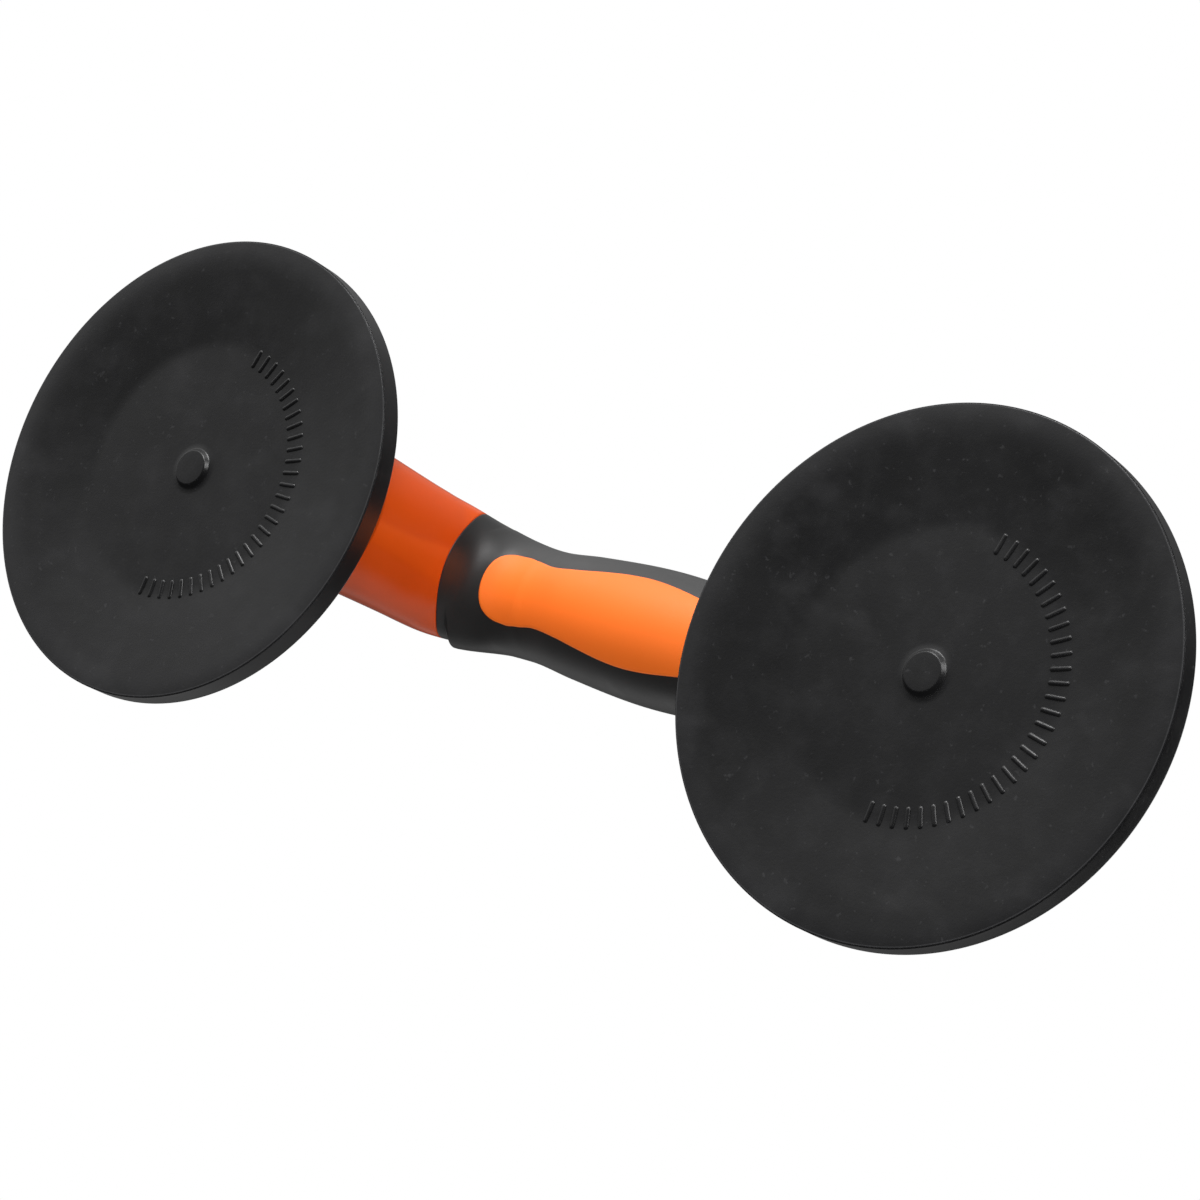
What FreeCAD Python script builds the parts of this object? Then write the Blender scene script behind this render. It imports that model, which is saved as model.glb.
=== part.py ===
"""Two-cup glass lifter: a moulded arch handle over two lever-locked rubber suction discs.

Millimetres, +Z up. The origin lies midway between the discs, on the plane their lips rest on.
The discs stand along X. The levers are at rest in their locked place, folded down and outwards.
"""
import FreeCAD
import Part
import Sketcher
import os
import re

# Driving sizes, one alias and one number each

SIZES = {
    # Rubber disc, seen from the lip upwards
    "cup_pitch": 220.0,
    "disc_radius": 60.0,
    "rim_height": 6.0,
    "rim_round": 0.8,
    "lip_width": 9.0,
    "lip_slope": 4.0,
    "valley_depth": 3.0,
    "valley_inner_radius": 39.0,
    "plateau_radius": 33.0,
    "plateau_height": 2.5,
    "button_height": 1.0,
    "button_face_radius": 4.5,
    "button_base_radius": 6.3,
    "seat_height": 9.0,
    "seat_outer_radius": 47.0,
    "seat_flank": 3.0,
    "shoulder_height": 7.2,
    "hub_radius": 24.0,
    "web_height": 6.5,
    "bond_gap": 0.05,
    # Steel insert and its stud
    "insert_radius": 20.0,
    "insert_level": 4.8,
    "insert_thickness": 2.0,
    "collar_radius": 13.0,
    "collar_proud": 0.5,
    "stud_radius": 5.0,
    "pin_height": 34.0,
    # Housing dome
    "wall": 3.5,
    "foot_ring_inner_radius": 38.0,
    "foot_ring_height": 3.0,
    "dome_radius": 46.0,
    "skirt_height": 4.0,
    "dome_height": 24.0,
    "dome_top_radius": 24.5,
    "dome_bulge": 26.0,
    "boss_radius": 13.0,
    "boss_drop": 3.0,
    "bore_clearance": 0.3,
    "rib_thickness": 2.2,
    "rib_reach": 33.0,
    "rib_count": 6.0,
    "tail_radius": 24.0,
    "tail_setback": 1.5,
    "foot_raise": 1.0,
    # Arch: leg, bend and handle
    "leg_place": 61.7,
    "handle_height": 64.5,
    "bend_radius": 16.0,
    "foot_half_width": 18.3,
    "foot_half_depth": 10.9,
    "knuckle_half_width": 17.0,
    "knuckle_half_depth": 10.5,
    "low_corner_half_width": 16.9,
    "low_corner_half_depth": 12.0,
    "high_corner_half_width": 16.0,
    "high_corner_half_depth": 13.4,
    "heel_half_width": 14.7,
    "heel_half_depth": 14.0,
    "neck_run": 9.0,
    "neck_half_width": 14.5,
    "neck_half_depth": 14.3,
    "neck_sag": 0.4,
    "waist_run": 22.0,
    "waist_half_width": 15.5,
    "waist_half_depth": 15.3,
    "waist_sag": 1.6,
    "palm_half_width": 17.0,
    "palm_half_depth": 16.7,
    "palm_sag": 2.3,
    # Grip over the arch
    "seam_place": 58.5,
    "seam_height": 55.0,
    "seam_lean": 0.375,
    "sleeve_thickness": 3.2,
    "core_wall": 3.0,
    "inlay_depth": 1.6,
    "inlay_proud": 0.25,
    "inlay_half_length": 50.0,
    "inlay_belly": 11.5,
    "inlay_belly_bow": 80.0,
    "inlay_waist": 8.0,
    "inlay_waist_place": 30.0,
    # Wear plate and its screws
    "plate_thickness": 1.0,
    "plate_half_length": 14.5,
    "plate_half_width": 12.0,
    "plate_corner": 3.0,
    "screw_place": 9.4,
    "screw_radius": 1.5,
    "screw_length": 5.5,
    "screw_hole_spare": 0.3,
    "screw_head_radius": 2.7,
    "screw_head_height": 1.7,
    "cross_half_length": 1.6,
    "cross_half_width": 0.35,
    "cross_depth": 0.9,
    "thread_fit": 0.02,
    # Lever and its eccentric cams
    "locked_lift": 1.5,
    "lever_travel": 85.0,
    "cam_gap": 0.3,
    "cam_top_angle": 75.0,
    "cam_low_angle": 50.0,
    "cheek_half_width": 11.8,
    "fork_gap": 0.4,
    "web_gap": 1.8,
    "arm_reach": 49.0,
    "arm_tip_height": 15.6,
    "arm_tip_thickness": 5.0,
    "arm_bend_place": 25.0,
    "arm_bend_height": 26.4,
    "arm_bend_thickness": 5.6,
    "arm_half_width": 14.0,
    "arm_widening_place": 15.0,
    "arm_corner": 8.0,
    "arm_edge_round": 1.2,
    "groove_count": 4.0,
    "groove_pitch": 3.2,
    "groove_radius": 0.9,
    "groove_half_length": 10.0,
    "groove_margin": 6.0,
    # Lever pin and its clip
    "pin_radius": 2.5,
    "pin_fit": 0.02,
    "pin_running": 0.1,
    "pin_end_play": 0.15,
    "pin_head_radius": 4.0,
    "pin_head_thickness": 1.5,
    "clip_thickness": 0.8,
    "clip_radius": 4.2,
    "clip_groove_depth": 0.5,
    "clip_side_play": 0.1,
    "clip_wrap": 290.0,
    "pin_tail": 1.2,
    # Return spring round the stud
    "wire_radius": 0.8,
    "spring_radius": 9.2,
    "spring_pitch": 2.2,
    "spring_seat_gap": 0.1,
}

# Document and sheet

doc = FreeCAD.newDocument("glass_suction_lifter")
sheet = doc.addObject("Spreadsheet::Sheet", "sheet")
for row, (alias, number) in enumerate(SIZES.items(), start=1):
    sheet.set("A%d" % row, alias)
    sheet.set("B%d" % row, str(number))
    sheet.setAlias("B%d" % row, alias)
doc.recompute()

# Levels and places that follow from the driving sizes

DERIVED = {
    "valley_outer_radius": "disc_radius - lip_width - lip_slope",
    "button_level": "plateau_height - button_height",
    "collar_top": "seat_height + collar_proud",
    "skirt_top": "seat_height + skirt_height",
    "ceiling": "dome_height - wall",
    "boss_bottom": "dome_height - wall - boss_drop",
    "bore_radius": "stud_radius + bore_clearance",
    "plate_top": "dome_height + plate_thickness",
    "tail_place": "cup_pitch / 2 - leg_place + foot_half_depth - tail_setback - tail_radius",
    "foot_level": "seat_height + foot_raise",
    "knuckle": "handle_height - bend_radius",
    "heel_place": "leg_place - bend_radius",
    "cam_out": "locked_lift / (2 * tan(lever_travel / 2))",
    "cam_down": "locked_lift / 2",
    "cam_radius": "pin_height - locked_lift / 2 - dome_height - plate_thickness - cam_gap",
    "fork_half_width": "stud_radius + fork_gap",
    "pin_seat": "cheek_half_width + pin_end_play",
    "waist_bow": "((inlay_waist_place^2 + (inlay_belly - inlay_waist)^2)"
                 " / (2 * (inlay_belly - inlay_waist)) - inlay_belly_bow)",
}
DERIVED["inlay_end_radius"] = (
    "(((inlay_half_length - inlay_waist_place)^2 + (inlay_waist + waist_bow)^2 - waist_bow^2)"
    " / (2 * (waist_bow + inlay_half_length - inlay_waist_place)))")


def bound(text):
    """Write every size name in text as its cell in the sheet, working derived names out first."""
    while re.search(r"(?<!\.)\b(%s)\b" % "|".join(DERIVED), text):
        text = re.sub(r"(?<!\.)\b(%s)\b" % "|".join(DERIVED), lambda m: "(%s)" % DERIVED[m[1]], text)
    return re.sub(r"(?<!\.)\b(%s)\b" % "|".join(SIZES), r"sheet.\1", text)


def size(text):
    """The number that an expression of size names has now."""
    return float(sheet.evalExpression(bound(text)))


# Sketch helpers

def new_body(name):
    return doc.addObject("PartDesign::Body", name)


def sketch_on(body, role, name, lift=None):
    """A sketch on one of the body's own origin planes, lifted along the plane's normal."""
    sketch = body.newObject("Sketcher::SketchObject", name)
    plane = [f for f in body.Origin.OriginFeatures if f.Role == role][0]
    sketch.AttachmentSupport = [(plane, "")]
    sketch.MapMode = "FlatFace"
    if lift:
        sketch.setExpression("AttachmentOffset.Base.z", bound(lift))
    return sketch


def pin_point(sketch, geometry, point, u, v):
    """Hold one point of a sketch at two expressions measured from its origin."""
    for kind, text in (("DistanceX", u), ("DistanceY", v)):
        index = sketch.addConstraint(Sketcher.Constraint(kind, -1, 1, geometry, point, size(text)))
        sketch.setExpression("Constraints[%d]" % index, bound(text))


def outline(sketch, points):
    """Close an outline through points (u, v) or (u, v, bow).

    A bow gives the radius of the arc that leads on from its point, bulging to the right of the way
    for a positive number and to the left for a name that starts with a minus.
    """
    places = [FreeCAD.Vector(size(p[0]), size(p[1]), 0) for p in points]
    first = sketch.GeometryCount
    for index, point in enumerate(points):
        start = places[index]
        end = places[(index + 1) % len(places)]
        if len(point) == 2:
            sketch.addGeometry(Part.LineSegment(start, end))
            continue
        radius = size(point[2])
        chord = end - start
        side = FreeCAD.Vector(chord.y, -chord.x, 0).normalize() * (1 if radius > 0 else -1)
        depth = abs(radius) - (radius ** 2 - chord.Length ** 2 / 4) ** 0.5
        middle = (start + end) * 0.5 + side * depth
        sketch.addGeometry(Part.Arc(start, middle, end))
    for index, point in enumerate(points):
        geometry = first + index
        backwards = len(point) == 3 and size(point[2]) < 0
        pin_point(sketch, geometry, 2 if backwards else 1, point[0], point[1])
        following = (index + 1) % len(points)
        next_backwards = len(points[following]) == 3 and size(points[following][2]) < 0
        sketch.addConstraint(Sketcher.Constraint("Coincident", geometry, 1 if backwards else 2,
                                                 first + following, 2 if next_backwards else 1))
        if len(point) == 3:
            radius = abs(size(point[2]))
            number = sketch.addConstraint(Sketcher.Constraint("Radius", geometry, radius))
            sketch.setExpression("Constraints[%d]" % number, "abs(%s)" % bound(point[2]))


def circle(sketch, u, v, radius):
    """A circle whose centre and radius follow expressions."""
    centre = FreeCAD.Vector(size(u), size(v), 0)
    geometry = sketch.addGeometry(Part.Circle(centre, FreeCAD.Vector(0, 0, 1), size(radius)))
    pin_point(sketch, geometry, 3, u, v)
    index = sketch.addConstraint(Sketcher.Constraint("Radius", geometry, size(radius)))
    sketch.setExpression("Constraints[%d]" % index, bound(radius))


def rectangle(sketch, u0, u1, v0, v1):
    outline(sketch, [(u0, v0), (u1, v0), (u1, v1), (u0, v1)])


# Feature helpers

def revolve(body, sketch, name, angle="360"):
    feature = body.newObject("PartDesign::Revolution", name)
    feature.Profile = sketch
    feature.ReferenceAxis = (sketch, ["V_Axis"])
    feature.setExpression("Angle", bound(angle))
    doc.recompute()
    return feature


def pad(body, sketch, name, length, midplane=False):
    feature = body.newObject("PartDesign::Pad", name)
    feature.Profile = sketch
    feature.Midplane = midplane
    feature.setExpression("Length", bound(length))
    doc.recompute()
    return feature


def pocket(body, sketch, name, length=None, midplane=False, upwards=False):
    """Cut a sketch out of the body and stop if it took nothing away."""
    before = body.Shape.Volume
    feature = body.newObject("PartDesign::Pocket", name)
    feature.Profile = sketch
    feature.Midplane = midplane
    feature.Reversed = upwards
    if length:
        feature.setExpression("Length", bound(length))
    else:
        feature.Type = "ThroughAll"
    doc.recompute()
    if body.Shape.Volume >= before:
        raise ValueError("%s cut nothing" % name)
    return feature


def round_edges(body, name, radius, chosen):
    """Round the edges of the body's tip whose middle point passes the test."""
    base = body.Tip
    names = []
    for index, edge in enumerate(base.Shape.Edges, start=1):
        middle = edge.valueAt((edge.FirstParameter + edge.LastParameter) / 2)
        if chosen(edge, middle):
            names.append("Edge%d" % index)
    feature = body.newObject("PartDesign::Fillet", name)
    feature.Base = (base, names)
    feature.setExpression("Radius", bound(radius))
    doc.recompute()
    return feature


def place(thing, u="0", v="0", w="0", turn="0"):
    """Set an object's place and its turn about Z by expressions."""
    thing.setExpression("Placement", bound(
        "placement(vector(%s; %s; %s); rotation(vector(0; 0; 1); %s))" % (u, v, w, turn)))


def joined(kind, name, **links):
    """A boolean of the document: Cut, Common, MultiFuse or Compound."""
    feature = doc.addObject("Part::" + kind, name)
    for key, target in links.items():
        setattr(feature, key, target)
    return feature


# Pieces on each side. Local X points outwards, away from the handle.

SIDES = {"right": ("cup_pitch / 2", "0"), "left": ("-cup_pitch / 2", "180")}


def make_disc(side):
    """Rubber suction disc: flat lip, domed valley, plateau, centre button and seat ring."""
    body = new_body(side + "_suction_disc")
    sketch = sketch_on(body, "XZ_Plane", side + "_disc_profile")
    outline(sketch, [
        ("0", "button_level"),
        ("button_face_radius", "button_level"),
        ("button_base_radius", "plateau_height"),
        ("plateau_radius", "plateau_height"),
        ("valley_inner_radius", "valley_depth"),
        ("valley_outer_radius", "valley_depth"),
        ("valley_outer_radius + lip_slope", "0"),
        ("disc_radius - rim_round", "0"),
        ("disc_radius", "rim_round"),
        ("disc_radius", "rim_height - rim_round"),
        ("disc_radius - rim_round", "rim_height"),
        ("seat_outer_radius + seat_flank", "shoulder_height"),
        ("seat_outer_radius", "seat_height"),
        ("foot_ring_inner_radius", "seat_height"),
        ("foot_ring_inner_radius - seat_flank", "web_height"),
        ("hub_radius + seat_flank", "web_height"),
        ("hub_radius", "seat_height"),
        ("collar_radius + bond_gap", "seat_height"),
        ("collar_radius + bond_gap", "insert_level + insert_thickness + bond_gap"),
        ("insert_radius + bond_gap", "insert_level + insert_thickness + bond_gap"),
        ("insert_radius + bond_gap", "insert_level - bond_gap"),
        ("0", "insert_level - bond_gap"),
    ])
    revolve(body, sketch, side + "_disc_turned")
    return body


def make_insert(side):
    """Steel plate moulded into the rubber, with the collar and stud that pull it up."""
    body = new_body(side + "_disc_insert")
    sketch = sketch_on(body, "XZ_Plane", side + "_insert_profile")
    outline(sketch, [
        ("0", "insert_level"),
        ("insert_radius", "insert_level"),
        ("insert_radius", "insert_level + insert_thickness"),
        ("collar_radius", "insert_level + insert_thickness"),
        ("collar_radius", "collar_top"),
        ("stud_radius", "collar_top"),
        ("stud_radius", "pin_height", "stud_radius"),
        ("0", "pin_height + stud_radius"),
    ])
    revolve(body, sketch, side + "_insert_turned")
    eye = sketch_on(body, "XZ_Plane", side + "_insert_eye")
    circle(eye, "0", "pin_height", "pin_radius + pin_fit")
    pocket(body, eye, side + "_insert_eye_hole", "4 * stud_radius", midplane=True)
    return body


def make_housing(side):
    """Moulded dome that seats on the rubber, with its ribs and the tail that carries the leg."""
    body = new_body(side + "_housing")
    sketch = sketch_on(body, "XZ_Plane", side + "_dome_profile")
    outline(sketch, [
        ("bore_radius", "dome_height"),
        ("dome_top_radius", "dome_height", "-dome_bulge"),
        ("dome_radius", "skirt_top"),
        ("dome_radius", "seat_height"),
        ("foot_ring_inner_radius", "seat_height"),
        ("foot_ring_inner_radius", "seat_height + foot_ring_height"),
        ("dome_radius - wall", "seat_height + foot_ring_height"),
        ("dome_radius - wall", "skirt_top", "dome_bulge - wall"),
        ("dome_top_radius - wall / 2", "ceiling"),
        ("boss_radius", "ceiling"),
        ("boss_radius", "boss_bottom"),
        ("bore_radius", "boss_bottom"),
    ])
    revolve(body, sketch, side + "_dome_turned")
    tail = sketch_on(body, "XY_Plane", side + "_tail_outline", "seat_height")
    lean = "(dome_radius - tail_radius) / (tail_place)"
    rise = "sqrt(1 - (%s)^2)" % lean
    outline(tail, [
        ("-dome_radius * " + lean, "dome_radius * " + rise),
        ("-(tail_place) - tail_radius * " + lean, "tail_radius * " + rise, "tail_radius"),
        ("-(tail_place) - tail_radius * " + lean, "-tail_radius * " + rise),
        ("-dome_radius * " + lean, "-dome_radius * " + rise),
        ("-foot_ring_inner_radius * " + lean, "-foot_ring_inner_radius * " + rise,
         "-foot_ring_inner_radius"),
        ("-foot_ring_inner_radius * " + lean, "foot_ring_inner_radius * " + rise),
    ])
    pad(body, tail, side + "_tail_plate", "skirt_height")
    rib = sketch_on(body, "XZ_Plane", side + "_rib_outline")
    outline(rib, [
        ("boss_radius - rib_thickness / 2", "boss_bottom"),
        ("rib_reach", "boss_bottom"),
        ("dome_top_radius", "dome_height - wall / 2"),
        ("boss_radius - rib_thickness / 2", "dome_height - wall / 2"),
    ])
    rib_pad = pad(body, rib, side + "_rib", "rib_thickness", midplane=True)
    ribs = body.newObject("PartDesign::PolarPattern", side + "_ribs")
    ribs.Originals = [rib_pad]
    ribs.Axis = (rib, ["V_Axis"])
    ribs.Angle = 360
    ribs.Occurrences = int(size("rib_count"))
    body.Tip = ribs
    doc.recompute()
    holes = sketch_on(body, "XY_Plane", side + "_screw_holes", "dome_height")
    for sign in ("", "-"):
        circle(holes, sign + "screw_place", "0", "screw_radius + thread_fit")
    pocket(body, holes, side + "_screw_holes_cut", "screw_length + screw_hole_spare")
    return body


def make_wear_plate(side):
    """Steel plate under the cams, with a clear hole for the stud and two for its screws."""
    body = new_body(side + "_wear_plate")
    sketch = sketch_on(body, "XY_Plane", side + "_plate_outline", "dome_height")
    length = "plate_half_length"
    width = "plate_half_width"
    outline(sketch, [
        (length, "-%s + plate_corner" % width),
        (length, "%s - plate_corner" % width, "plate_corner"),
        ("%s - plate_corner" % length, width),
        ("-%s + plate_corner" % length, width, "plate_corner"),
        ("-" + length, "%s - plate_corner" % width),
        ("-" + length, "-%s + plate_corner" % width, "plate_corner"),
        ("-%s + plate_corner" % length, "-" + width),
        ("%s - plate_corner" % length, "-" + width, "plate_corner"),
    ])
    circle(sketch, "0", "0", "bore_radius")
    for sign in ("", "-"):
        circle(sketch, sign + "screw_place", "0", "screw_radius + pin_running")
    pad(body, sketch, side + "_plate_sheet", "plate_thickness")
    return body


def make_plate_screw(side, sign):
    """One pan-head screw with a cross recess, on its own axis."""
    name = "%s_plate_screw_%s" % (side, "outer" if sign > 0 else "inner")
    body = new_body(name)
    sketch = sketch_on(body, "XZ_Plane", name + "_profile")
    outline(sketch, [
        ("0", "plate_top - screw_length"),
        ("screw_radius", "plate_top - screw_length"),
        ("screw_radius", "plate_top"),
        ("screw_head_radius", "plate_top"),
        ("screw_head_radius", "plate_top + screw_head_height / 2"),
        ("screw_radius", "plate_top + screw_head_height"),
        ("0", "plate_top + screw_head_height"),
    ])
    revolve(body, sketch, name + "_turned")
    for axis in ("length", "width"):
        along = "cross_half_length" if axis == "length" else "cross_half_width"
        across = "cross_half_width" if axis == "length" else "cross_half_length"
        slot = sketch_on(body, "XY_Plane", name + "_slot_" + axis, "plate_top + screw_head_height")
        rectangle(slot, "-" + along, along, "-" + across, across)
        pocket(body, slot, name + "_recess_" + axis, "cross_depth")
    return body


def make_lever(side):
    """Nylon lever: two eccentric cam cheeks joined by a sloping finger paddle."""
    body = new_body(side + "_lever")
    side_view = sketch_on(body, "XZ_Plane", side + "_lever_side")
    cam_x = "cam_out"
    cam_z = "pin_height - cam_down"
    top = "cam_radius * %s(cam_top_angle)"
    low = "cam_radius * %s(cam_low_angle)"
    outline(side_view, [
        ("%s + %s" % (cam_x, low % "cos"), "%s - %s" % (cam_z, low % "sin"), "-cam_radius"),
        ("%s - cam_radius" % cam_x, cam_z, "-cam_radius"),
        ("%s + %s" % (cam_x, top % "cos"), "%s + %s" % (cam_z, top % "sin")),
        ("arm_bend_place + arm_bend_thickness", "arm_bend_height + arm_bend_thickness"),
        ("arm_reach", "arm_tip_height + arm_tip_thickness"),
        ("arm_reach", "arm_tip_height"),
        ("arm_bend_place", "arm_bend_height"),
    ])
    pad(body, side_view, side + "_lever_blank", "2 * arm_half_width", midplane=True)
    plan = sketch_on(body, "XY_Plane", side + "_lever_plan")
    beyond = "2 * arm_reach"
    rectangle(plan, "-" + beyond, beyond, "-" + beyond, beyond)
    back = "-cam_radius - cam_gap"
    nose = "arm_reach - arm_edge_round"
    full = "arm_bend_place + arm_bend_thickness"
    outline(plan, [
        (back, "-cheek_half_width"),
        ("arm_widening_place", "-cheek_half_width"),
        (full, "-arm_half_width"),
        (nose + " - arm_corner", "-arm_half_width", "arm_corner"),
        (nose, "-arm_half_width + arm_corner"),
        (nose, "arm_half_width - arm_corner", "arm_corner"),
        (nose + " - arm_corner", "arm_half_width"),
        (full, "arm_half_width"),
        ("arm_widening_place", "cheek_half_width"),
        (back, "cheek_half_width"),
    ])
    pocket(body, plan, side + "_lever_sides", upwards=True)
    fork = sketch_on(body, "XZ_Plane", side + "_lever_fork")
    rectangle(fork, back, "stud_radius + web_gap", "dome_height", "pin_height + 2 * cam_radius")
    pocket(body, fork, side + "_lever_fork_cut", "2 * (fork_half_width)", midplane=True)
    hole = sketch_on(body, "XZ_Plane", side + "_lever_hole")
    circle(hole, "0", "pin_height", "pin_radius + pin_running")
    pocket(body, hole, side + "_lever_pin_hole", "4 * cheek_half_width", midplane=True)
    round_edges(body, side + "_lever_rounding", "arm_edge_round",
                lambda edge, middle: not edge.isClosed()
                and edge.BoundBox.XLength + edge.BoundBox.YLength > size("arm_edge_round")
                and (abs(middle.y) > size("cheek_half_width - thread_fit")
                     or middle.x > size(full) + size("arm_edge_round")))
    grooves = sketch_on(body, "XZ_Plane", side + "_lever_grooves")
    slope = ("(arm_bend_height + arm_bend_thickness - arm_tip_height - arm_tip_thickness)"
             " / (arm_reach - arm_bend_place - arm_bend_thickness)")
    for index in range(int(size("groove_count"))):
        back_off = "(groove_margin + %d * groove_pitch)" % index
        circle(grooves, "arm_reach - " + back_off,
               "arm_tip_height + arm_tip_thickness + %s * %s" % (back_off, slope),
               "groove_radius")
    pocket(body, grooves, side + "_lever_grip", "2 * groove_half_length", midplane=True)
    return body


def make_pin(side):
    """Headed steel pin through the cheeks and the stud's eye, grooved for its clip."""
    body = new_body(side + "_lever_pin")
    sketch = sketch_on(body, "XY_Plane", side + "_pin_profile")
    groove = "pin_seat"
    groove_end = "pin_seat + clip_thickness + 2 * clip_side_play"
    outline(sketch, [
        ("0", "-(pin_seat + pin_head_thickness)"),
        ("pin_head_radius", "-(pin_seat + pin_head_thickness)"),
        ("pin_head_radius", "-pin_seat"),
        ("pin_radius", "-pin_seat"),
        ("pin_radius", groove),
        ("pin_radius - clip_groove_depth", groove),
        ("pin_radius - clip_groove_depth", groove_end),
        ("pin_radius", groove_end),
        ("pin_radius", groove_end + " + pin_tail"),
        ("0", groove_end + " + pin_tail"),
    ])
    revolve(body, sketch, side + "_pin_turned")
    return body


def make_clip(side):
    """Open retaining ring in the pin's groove."""
    body = new_body(side + "_pin_clip")
    sketch = sketch_on(body, "XY_Plane", side + "_clip_section")
    rectangle(sketch, "pin_radius - clip_groove_depth + thread_fit", "clip_radius",
              "pin_seat + clip_side_play", "pin_seat + clip_side_play + clip_thickness")
    revolve(body, sketch, side + "_clip_ring", "clip_wrap")
    return body


def make_spring(side):
    """Short coil spring that pushes the stud down when the lever is opened."""
    body = new_body(side + "_return_spring")
    sketch = sketch_on(body, "XZ_Plane", side + "_wire_section")
    circle(sketch, "spring_radius", "collar_top + spring_seat_gap + wire_radius", "wire_radius")
    coil = body.newObject("PartDesign::AdditiveHelix", side + "_coil")
    coil.Profile = sketch
    coil.ReferenceAxis = (sketch, ["V_Axis"])
    coil.Mode = 0
    coil.setExpression("Pitch", bound("spring_pitch"))
    coil.setExpression("Height", bound(
        "boss_bottom - collar_top - 2 * spring_seat_gap - 2 * wire_radius"))
    doc.recompute()
    return body


SUBPARTS = []


def keep(thing, label):
    """Name a finished piece and list it for writing."""
    thing.Label = label
    SUBPARTS.append(thing)


housings = []
for side, (middle, turn) in SIDES.items():
    for make, name in ((make_disc, "suction_disc"), (make_insert, "disc_insert"),
                       (make_wear_plate, "wear_plate"), (make_lever, "lever"),
                       (make_spring, "return_spring")):
        piece = make(side)
        place(piece, middle, turn=turn)
        keep(piece, "%s_%s" % (side, name))
    for make, name in ((make_pin, "lever_pin"), (make_clip, "pin_clip")):
        piece = make(side)
        place(piece, middle, w="pin_height", turn=turn)
        keep(piece, "%s_%s" % (side, name))
    screws = []
    for sign in (1, -1):
        screw = make_plate_screw(side, sign)
        place(screw, "%s + %d * screw_place" % (middle, sign))
        screws.append(screw)
    keep(joined("Compound", side + "_plate_screw_pair", Links=screws), side + "_plate_screws")
    housing = make_housing(side)
    place(housing, middle, turn=turn)
    housings.append(housing)

# Arch: ellipses stand across its centre line and a loft runs through them

def blend(first, second, share):
    """Expression for a size part of the way from one size to another."""
    return "(%s + (%s - %s) * %s)" % (first, second, first, share)


STATIONS = []
for quarter in range(4):
    STATIONS.append((
        "leg%d" % quarter, "leg_place", blend("foot_level", "knuckle", quarter / 4), "90",
        blend("foot_half_width", "knuckle_half_width", quarter / 4),
        blend("foot_half_depth", "knuckle_half_depth", quarter / 4)))
for name, angle in (("knuckle", 0), ("low_corner", 30), ("high_corner", 60), ("heel", 90)):
    STATIONS.append((
        name, "heel_place + bend_radius * cos(%d)" % angle,
        "knuckle + bend_radius * sin(%d)" % angle, "%d" % (90 - angle),
        name + "_half_width", name + "_half_depth"))
for name in ("neck", "waist"):
    STATIONS.append((
        name, "heel_place - %s_run" % name, "handle_height - %s_sag" % name, "0",
        name + "_half_width", name + "_half_depth"))
STATIONS.append((
    "belly", "(heel_place - waist_run) / 2",
    "handle_height - " + blend("waist_sag", "palm_sag", "3 / 4"), "0",
    blend("waist_half_width", "palm_half_width", "3 / 4"),
    blend("waist_half_depth", "palm_half_depth", "3 / 4")))


def section(name, u, w, lean, half_width, half_depth, inset):
    """An ellipse across the arch, its long axis along Y and its plane leaning by an angle."""
    ellipse = doc.addObject("Part::Ellipse", name)
    ellipse.setExpression("MajorRadius", bound("%s - (%s)" % (half_width, inset)))
    ellipse.setExpression("MinorRadius", bound("%s - (%s)" % (half_depth, inset)))
    ellipse.setExpression("Placement", bound(
        "placement(vector(%s; 0; %s);"
        " rotation(vector(0; 1; 0); %s) * rotation(vector(1; 1; 1); 120))" % (u, w, lean)))
    return ellipse


def arch_loft(name, inset, foot_lift="0"):
    """The whole arch from foot to foot, its surface moved inwards by inset."""
    palm = ("palm", "0", "handle_height - palm_sag", "0", "palm_half_width", "palm_half_depth")
    row = [(station, -1) for station in STATIONS] + [(palm, 1)]
    row += [(station, 1) for station in reversed(STATIONS)]
    loft = doc.addObject("Part::Loft", name)
    sections = []
    for (station, u, w, lean, half_width, half_depth), sign in row:
        level = "%s + %s" % (w, foot_lift) if station == "leg0" else w
        sections.append(section("%s_%s_%s" % (name, station, "left" if sign < 0 else "right"),
                                "%d * (%s)" % (sign, u), level, "%d * %s" % (sign, lean),
                                half_width, half_depth, inset))
    loft.Sections = sections
    loft.Solid = True
    loft.Ruled = False
    return loft


arch_skin = arch_loft("arch_skin", "0")
arch_proud = arch_loft("arch_proud", "-inlay_proud")
arch_recess = arch_loft("arch_recess", "inlay_depth")
arch_core = arch_loft("arch_core", "sleeve_thickness")
gas_channel = arch_loft("gas_channel", "sleeve_thickness + core_wall", "skirt_height")

# Zone between the two leaning seams where the black sleeve covers the arch

zone = new_body("grip_zone")
zone_sketch = sketch_on(zone, "XZ_Plane", "grip_zone_outline")
zone_low = "seat_height + skirt_height"
zone_high = "2 * handle_height"
rim_at = "(seam_place + seam_lean * (%s - seam_height))"
outline(zone_sketch, [
    ("-" + rim_at % zone_low, zone_low),
    (rim_at % zone_low, zone_low),
    (rim_at % zone_high, zone_high),
    ("-" + rim_at % zone_high, zone_high),
])
pad(zone, zone_sketch, "grip_zone_block", "4 * palm_half_width", midplane=True)

# Frame: two housings, two legs and the handle core in one moulding, hollow along the arch

legs = joined("Cut", "legs", Base=arch_skin, Tool=zone)
moulding = joined("MultiFuse", "frame_moulding", Shapes=housings + [legs, arch_core])
frame = joined("Cut", "frame_hollowed", Base=moulding, Tool=gas_channel)
keep(frame, "frame")


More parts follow.
